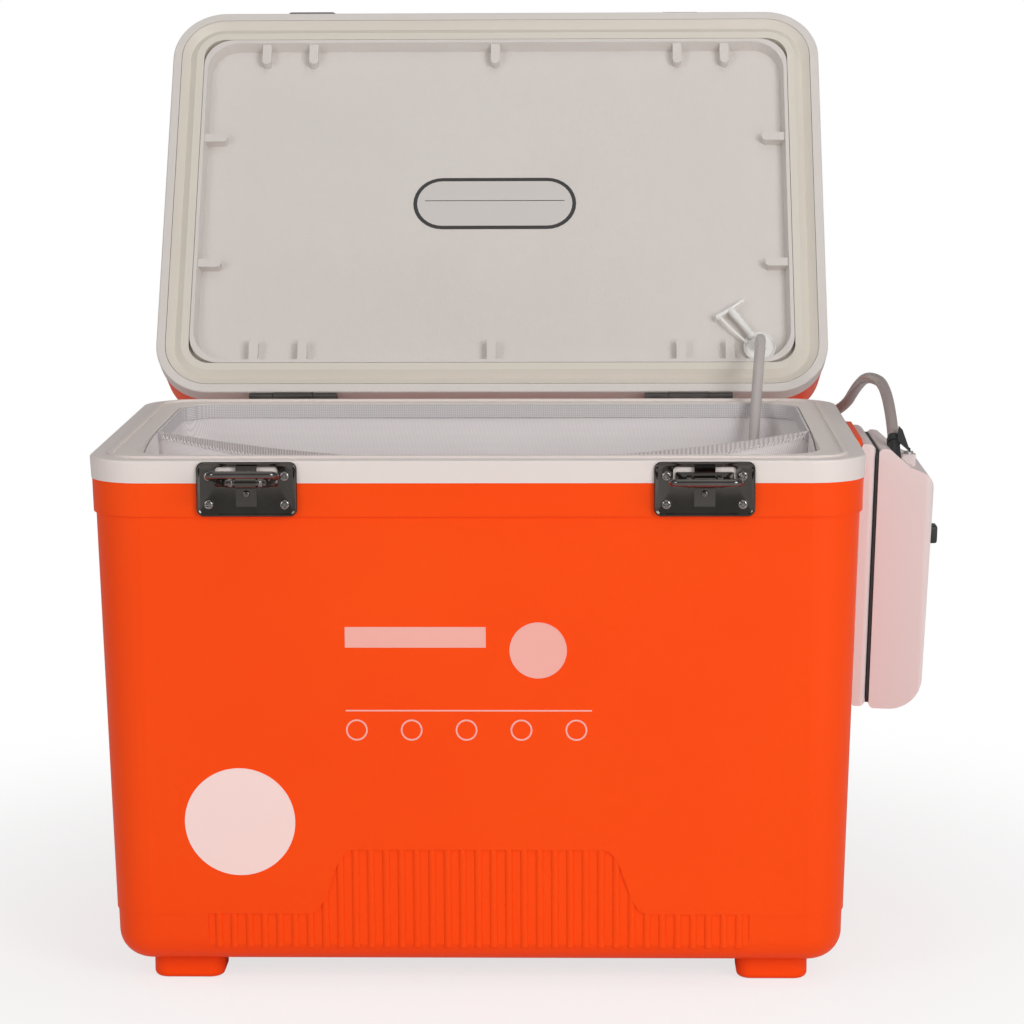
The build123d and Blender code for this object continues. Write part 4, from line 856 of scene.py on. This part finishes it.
# ---------------------------------------------------------------------------
# The net: a knitted bag of soft white mesh with a ribbed elastic band along its
# slack front edge, sewn on with a zigzag, and a plain hem along the back.
# ---------------------------------------------------------------------------
def knit_cloth(name, low, high, rows, columns, depth, holes):
    """Knitted cloth: loops in rows and columns that catch the light, with small holes."""
    paint = bpy.data.materials.new(name)
    paint.use_nodes = True
    tree = paint.node_tree
    cloth = tree.nodes["Principled BSDF"]
    cloth.inputs["Roughness"].default_value = 0.85
    cloth.inputs["Specular IOR Level"].default_value = 0.2
    place = tree.nodes.new("ShaderNodeTexCoord")
    askew = tree.nodes.new("ShaderNodeMapping")
    askew.inputs["Rotation"].default_value = (0.0, 0.0, math.radians(35))
    row = tree.nodes.new("ShaderNodeTexWave")
    row.bands_direction = "Z"
    row.inputs["Scale"].default_value = rows
    row.inputs["Distortion"].default_value = 0.25
    row.inputs["Detail Scale"].default_value = 2.0
    column = tree.nodes.new("ShaderNodeTexWave")
    column.bands_direction = "X"
    column.inputs["Scale"].default_value = columns
    column.inputs["Distortion"].default_value = 0.25
    column.inputs["Detail Scale"].default_value = 2.0
    loops = tree.nodes.new("ShaderNodeMath")
    loops.operation = "MULTIPLY"
    blend = tree.nodes.new("ShaderNodeMix")
    blend.data_type = "RGBA"
    blend.inputs["A"].default_value = (*low, 1.0)
    blend.inputs["B"].default_value = (*high, 1.0)
    relief = tree.nodes.new("ShaderNodeBump")
    relief.inputs["Strength"].default_value = depth
    relief.inputs["Distance"].default_value = 0.0004
    gap = tree.nodes.new("ShaderNodeMapRange")
    gap.inputs["From Min"].default_value = 0.0
    gap.inputs["From Max"].default_value = 0.25
    gap.inputs["To Min"].default_value = 1.0 - holes
    gap.inputs["To Max"].default_value = 1.0
    tree.links.new(place.outputs["Object"], row.inputs["Vector"])
    tree.links.new(place.outputs["Object"], askew.inputs["Vector"])
    tree.links.new(askew.outputs["Vector"], column.inputs["Vector"])
    tree.links.new(row.outputs["Fac"], loops.inputs[0])
    tree.links.new(column.outputs["Fac"], loops.inputs[1])
    tree.links.new(loops.outputs[0], blend.inputs["Factor"])
    tree.links.new(blend.outputs["Result"], cloth.inputs["Base Color"])
    tree.links.new(loops.outputs[0], relief.inputs["Height"])
    tree.links.new(relief.outputs["Normal"], cloth.inputs["Normal"])
    tree.links.new(loops.outputs[0], gap.inputs["Value"])
    tree.links.new(gap.outputs["Result"], cloth.inputs["Alpha"])
    return paint


bag_knit = knit_cloth("bag_knit", (0.84, 0.79, 0.79), (0.95, 0.90, 0.90), 470.0, 470.0, 0.35, 0.15)
band_knit = knit_cloth("band_knit", (0.60, 0.57, 0.58), (0.86, 0.82, 0.83), 300.0, 300.0, 0.5, 0.0)
rib_knit = knit_cloth("rib_knit", (0.50, 0.455, 0.45), (0.82, 0.765, 0.76), 3.0, 205.0, 1.0, 0.0)
stitch_thread = moulded_plastic("stitch_thread", (0.88, 0.85, 0.85), (0.95, 0.92, 0.92), 0.7, 0.3)


mouth_half = 182.9
mouth_rear = 111.2
mouth_side_y = -12.0
mouth_middle_y = -60.0
floor_half = 162.0
floor_rear = 92.0
floor_side_y = -84.0
floor_middle_y = -91.5
floor_height = 46.0
bag_corner = 22.0
steps_front = 96
steps_side = 30
steps_corner = 10
steps_rear = 80


def bag_plan(share):
    """The bag's outline in plan, from its mouth (0) to its floor (1), with its slack share."""
    half = mouth_half + (floor_half - mouth_half) * share
    rear = mouth_rear + (floor_rear - mouth_rear) * share
    side_y = mouth_side_y + (floor_side_y - mouth_side_y) * share
    middle_y = mouth_middle_y + (floor_middle_y - mouth_middle_y) * share
    power = 2.0 + 6.0 * share
    corner = bag_corner
    outline = []
    for step in range(steps_front):
        u = -1.0 + 2.0 * step / steps_front
        y = side_y + (middle_y - side_y) * (1 - abs(u) ** power)
        outline.append((u * half, y, 1 - u * u))
    for step in range(steps_side):
        outline.append((half, side_y + (rear - corner - side_y) * step / steps_side, 0.0))
    for step in range(steps_corner):
        angle = math.pi / 2 * step / steps_corner
        outline.append(
            (half - corner + corner * math.cos(angle), rear - corner + corner * math.sin(angle), 0.0)
        )
    for step in range(steps_rear):
        outline.append((half - corner - 2 * (half - corner) * step / steps_rear, rear, 0.0))
    for step in range(steps_corner):
        angle = math.pi / 2 + math.pi / 2 * step / steps_corner
        outline.append(
            (-half + corner + corner * math.cos(angle), rear - corner + corner * math.sin(angle), 0.0)
        )
    for step in range(steps_side):
        outline.append((-half, rear - corner + (side_y - rear + corner) * step / steps_side, 0.0))
    return outline


mouth_top = 288.5
mouth_sag = 9.5
back_hem_height = 7.8
band_end_height = 3.0
band_gain = 3.0


def hem_tall(slack):
    """The hem's height, which the stretched band across the front gathers at its ends."""
    if slack <= 0.0:
        return back_hem_height
    return band_end_height + band_gain * min(1.0, slack * 1.7)


bag_centre = Vector((0.0, 10.0, 0.0))
wrinkle = random.Random(5)
waves = [
    (wrinkle.uniform(5, 19), wrinkle.uniform(0, 6.28), wrinkle.uniform(-3, 3)) for _ in range(7)
]
bag_points = []
bag_levels = 56
around_bag = len(bag_plan(0.0))
for level in range(bag_levels + 1):
    share = level / bag_levels
    for place, (x, y, slack) in enumerate(bag_plan(share)):
        turn_share = place / around_bag * 2 * math.pi
        top = mouth_top - mouth_sag * slack - hem_tall(slack)
        ripple = sum(
            math.sin(count * turn_share + phase + drift * share * 3) for count, phase, drift in waves
        )
        belly = 0.6 + 1.7 * math.sin(math.pi * min(1.0, share * 1.05))
        depth = belly * (1 + ripple / len(waves)) * 0.9
        inward = (bag_centre - Vector((x, y, 0.0))).normalized()
        fall = Vector((x, y, top + (floor_height - top) * share))
        spot = fall + inward * depth * min(1.0, share * 12)
        bag_points.append(spot * MM)
bag_faces = ring_faces(bag_levels + 1, around_bag)
last_ring = bag_levels * around_bag
floor_rings = 8
for ring in range(1, floor_rings):
    for place in range(around_bag):
        edge = bag_points[last_ring + place]
        inner = edge.lerp(Vector((0.0, 0.003, edge.z)), ring / floor_rings)
        inner.z += (0.0008 + 0.0008 * math.sin(place * 0.21 + ring)) * min(1, ring / 2)
        bag_points.append(inner)
bag_faces += ring_faces(floor_rings, around_bag, last_ring)
bag_points.append(Vector((0.0, 0.003, 0.0468)))
hub = len(bag_points) - 1
inmost = last_ring + (floor_rings - 1) * around_bag
for place in range(around_bag):
    bag_faces.append((inmost + place, inmost + (place + 1) % around_bag, hub))
flap_length = 92.0
flap_top = 288.2
flap_steps = 16
flap_rows = 6
wall_corner_x = 159.5
wall_corner_y = -88.5
wall_corner_radius = 24.0
for side in (-1, 1):
    flap = len(bag_points)
    for step in range(flap_steps + 1):
        share = step / flap_steps
        flap_y = mouth_side_y - flap_length * share
        bend = max(0.0, wall_corner_y - flap_y)
        wall_x = wall_corner_x + math.sqrt(wall_corner_radius**2 - bend**2)
        for row in range(flap_rows + 1):
            drop = row / flap_rows
            fold = 0.7 * math.sin(share * 9 + drop * 3)
            x = side * (wall_x - 0.9 - fold * drop - 1.2 * drop)
            z = flap_top - 20.0 * share**3 - (27.0 + 8.0 * share) * drop
            bag_points.append(Vector((x, flap_y, z)) * MM)
    for step in range(flap_steps):
        for row in range(flap_rows):
            corner = flap + step * (flap_rows + 1) + row
            beyond = corner + flap_rows + 1
            bag_faces.append((corner, corner + 1, beyond + 1, beyond))
bag = finished_piece("knitted_bag", bag_points, bag_faces, bag_knit, None, 60.0)
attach(bag, "net")
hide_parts("net_bag")

hem_points = []
top_plan = bag_plan(0.0)
for wide, level in ((0.0, 0.0), (0.0, -1.0), (1.2, -1.0), (1.2, 0.0)):
    for x, y, slack in top_plan:
        inward = (bag_centre - Vector((x, y, 0.0))).normalized()
        z = mouth_top - mouth_sag * slack + level * hem_tall(slack)
        hem_points.append((Vector((x, y, z)) + inward * wide) * MM)
hem_faces = ring_faces(4, around_bag, closed=True)
hem = finished_piece("mouth_hem", hem_points, hem_faces, band_knit, None, 40.0)
hem.data.materials.append(rib_knit)
for face in hem.data.polygons:
    if all(top_plan[corner % around_bag][2] > 0.0 for corner in face.vertices):
        face.material_index = 1
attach(hem, "net")
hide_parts("net_hem")
stitch_steps = 340
stitch_reach = 0.985
stitch_half_height = 0.75
stitch_out = 0.8
stitch_up = 0.3
thread_radius = 0.36
stitch_line = []
for step in range(stitch_steps + 1):
    u = -stitch_reach + 2 * stitch_reach * step / stitch_steps
    zig = stitch_half_height if step % 2 else -stitch_half_height
    slack = 1 - u * u
    y = mouth_side_y - (mouth_side_y - mouth_middle_y) * slack - stitch_out
    z = mouth_top - mouth_sag * slack - hem_tall(slack) + zig + stitch_up
    stitch_line.append(Vector((u * mouth_half, y, z)) * MM)
stitch_tube = swept_tube(stitch_line, thread_radius * MM, 6)
finished_piece("hem_stitches", *stitch_tube, stitch_thread, "net")


# ---------------------------------------------------------------------------
# The marks: thin printed film, bare of any words. A bar, a rule, two discs and a
# row of rings on the front, and a grey stadium with a black outline and rule in
# the lid.
# ---------------------------------------------------------------------------
print_peach = moulded_plastic("print_peach", (0.90, 0.42, 0.36), (0.93, 0.46, 0.40), 0.45, 0.02)
dress(print_peach, "seal_label", "ring_marks")
film_thickness = 0.16
front_y = -129.36
front_height = 149.3
front_slope = 0.0297
thin_rule = (-69.8, 61.1, 153.7, 154.5)
plain_bar = (-69.8, 4.9, 188.4, 199.6)
film_points = []
film_faces = []
for x_from, x_to, z_from, z_to in (thin_rule, plain_bar):
    shift = len(film_points)
    for out in (0.0, film_thickness):
        for x, z in ((x_from, z_from), (x_to, z_from), (x_to, z_to), (x_from, z_to)):
            y = front_y - front_slope * (z - front_height) - out
            film_points.append(Vector((x, y, z)) * MM)
    film_faces += ring_faces(2, 4, shift)
    film_faces.append(tuple(range(shift, shift + 4)))
    film_faces.append(tuple(range(shift + 4, shift + 8)))
finished_piece("front_film", film_points, film_faces, print_peach, "base")
print_white = moulded_plastic("print_white", (0.95, 0.72, 0.68), (0.98, 0.75, 0.71), 0.45, 0.02)
dress(print_white, "size_label")
print_grey = moulded_plastic("print_grey", (0.64, 0.60, 0.57), (0.67, 0.63, 0.60), 0.4, 0.02)
print_black = moulded_plastic(
    "print_black", (0.03, 0.028, 0.028), (0.04, 0.038, 0.037), 0.4, 0.02
)
panel_depth = 8.0
label_x = 0.7
label_y = 0.2
label_width = 102.0
label_height = 36.6
field_width = 97.2
field_height = 31.8
label_lift = 0.20
rule_depth = 7.78
rule_corners = ((-43.0, -2.0), (44.4, -2.0), (44.4, -1.5), (-43.0, -1.5))


def stadium(width, height, lift):
    """Points round a stadium on the lid's panel."""
    return [
        lid_point(label_x + x, label_y + y, panel_depth - lift)
        for x, y in rounded_loop(width, height, height / 2 - 0.001)
    ]


label_back = stadium(label_width, label_height, 0.02)
label_front = stadium(label_width, label_height, label_lift)
label_inner = stadium(field_width, field_height, label_lift)
outline_points = label_back + label_front + label_inner
outline = finished_piece(
    "label_outline", outline_points, ring_faces(3, loop_points), print_black, "lid"
)
field_points = label_inner + [sum(label_inner, Vector()) / loop_points]
field_faces = [(step, (step + 1) % loop_points, loop_points) for step in range(loop_points)]
finished_piece("label_field", field_points, field_faces, print_grey, "lid")
rule_points = [lid_point(x, y, rule_depth) for x, y in rule_corners]
finished_piece("label_rule", rule_points, [(0, 1, 2, 3)], print_black, "lid")
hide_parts("lid_label")
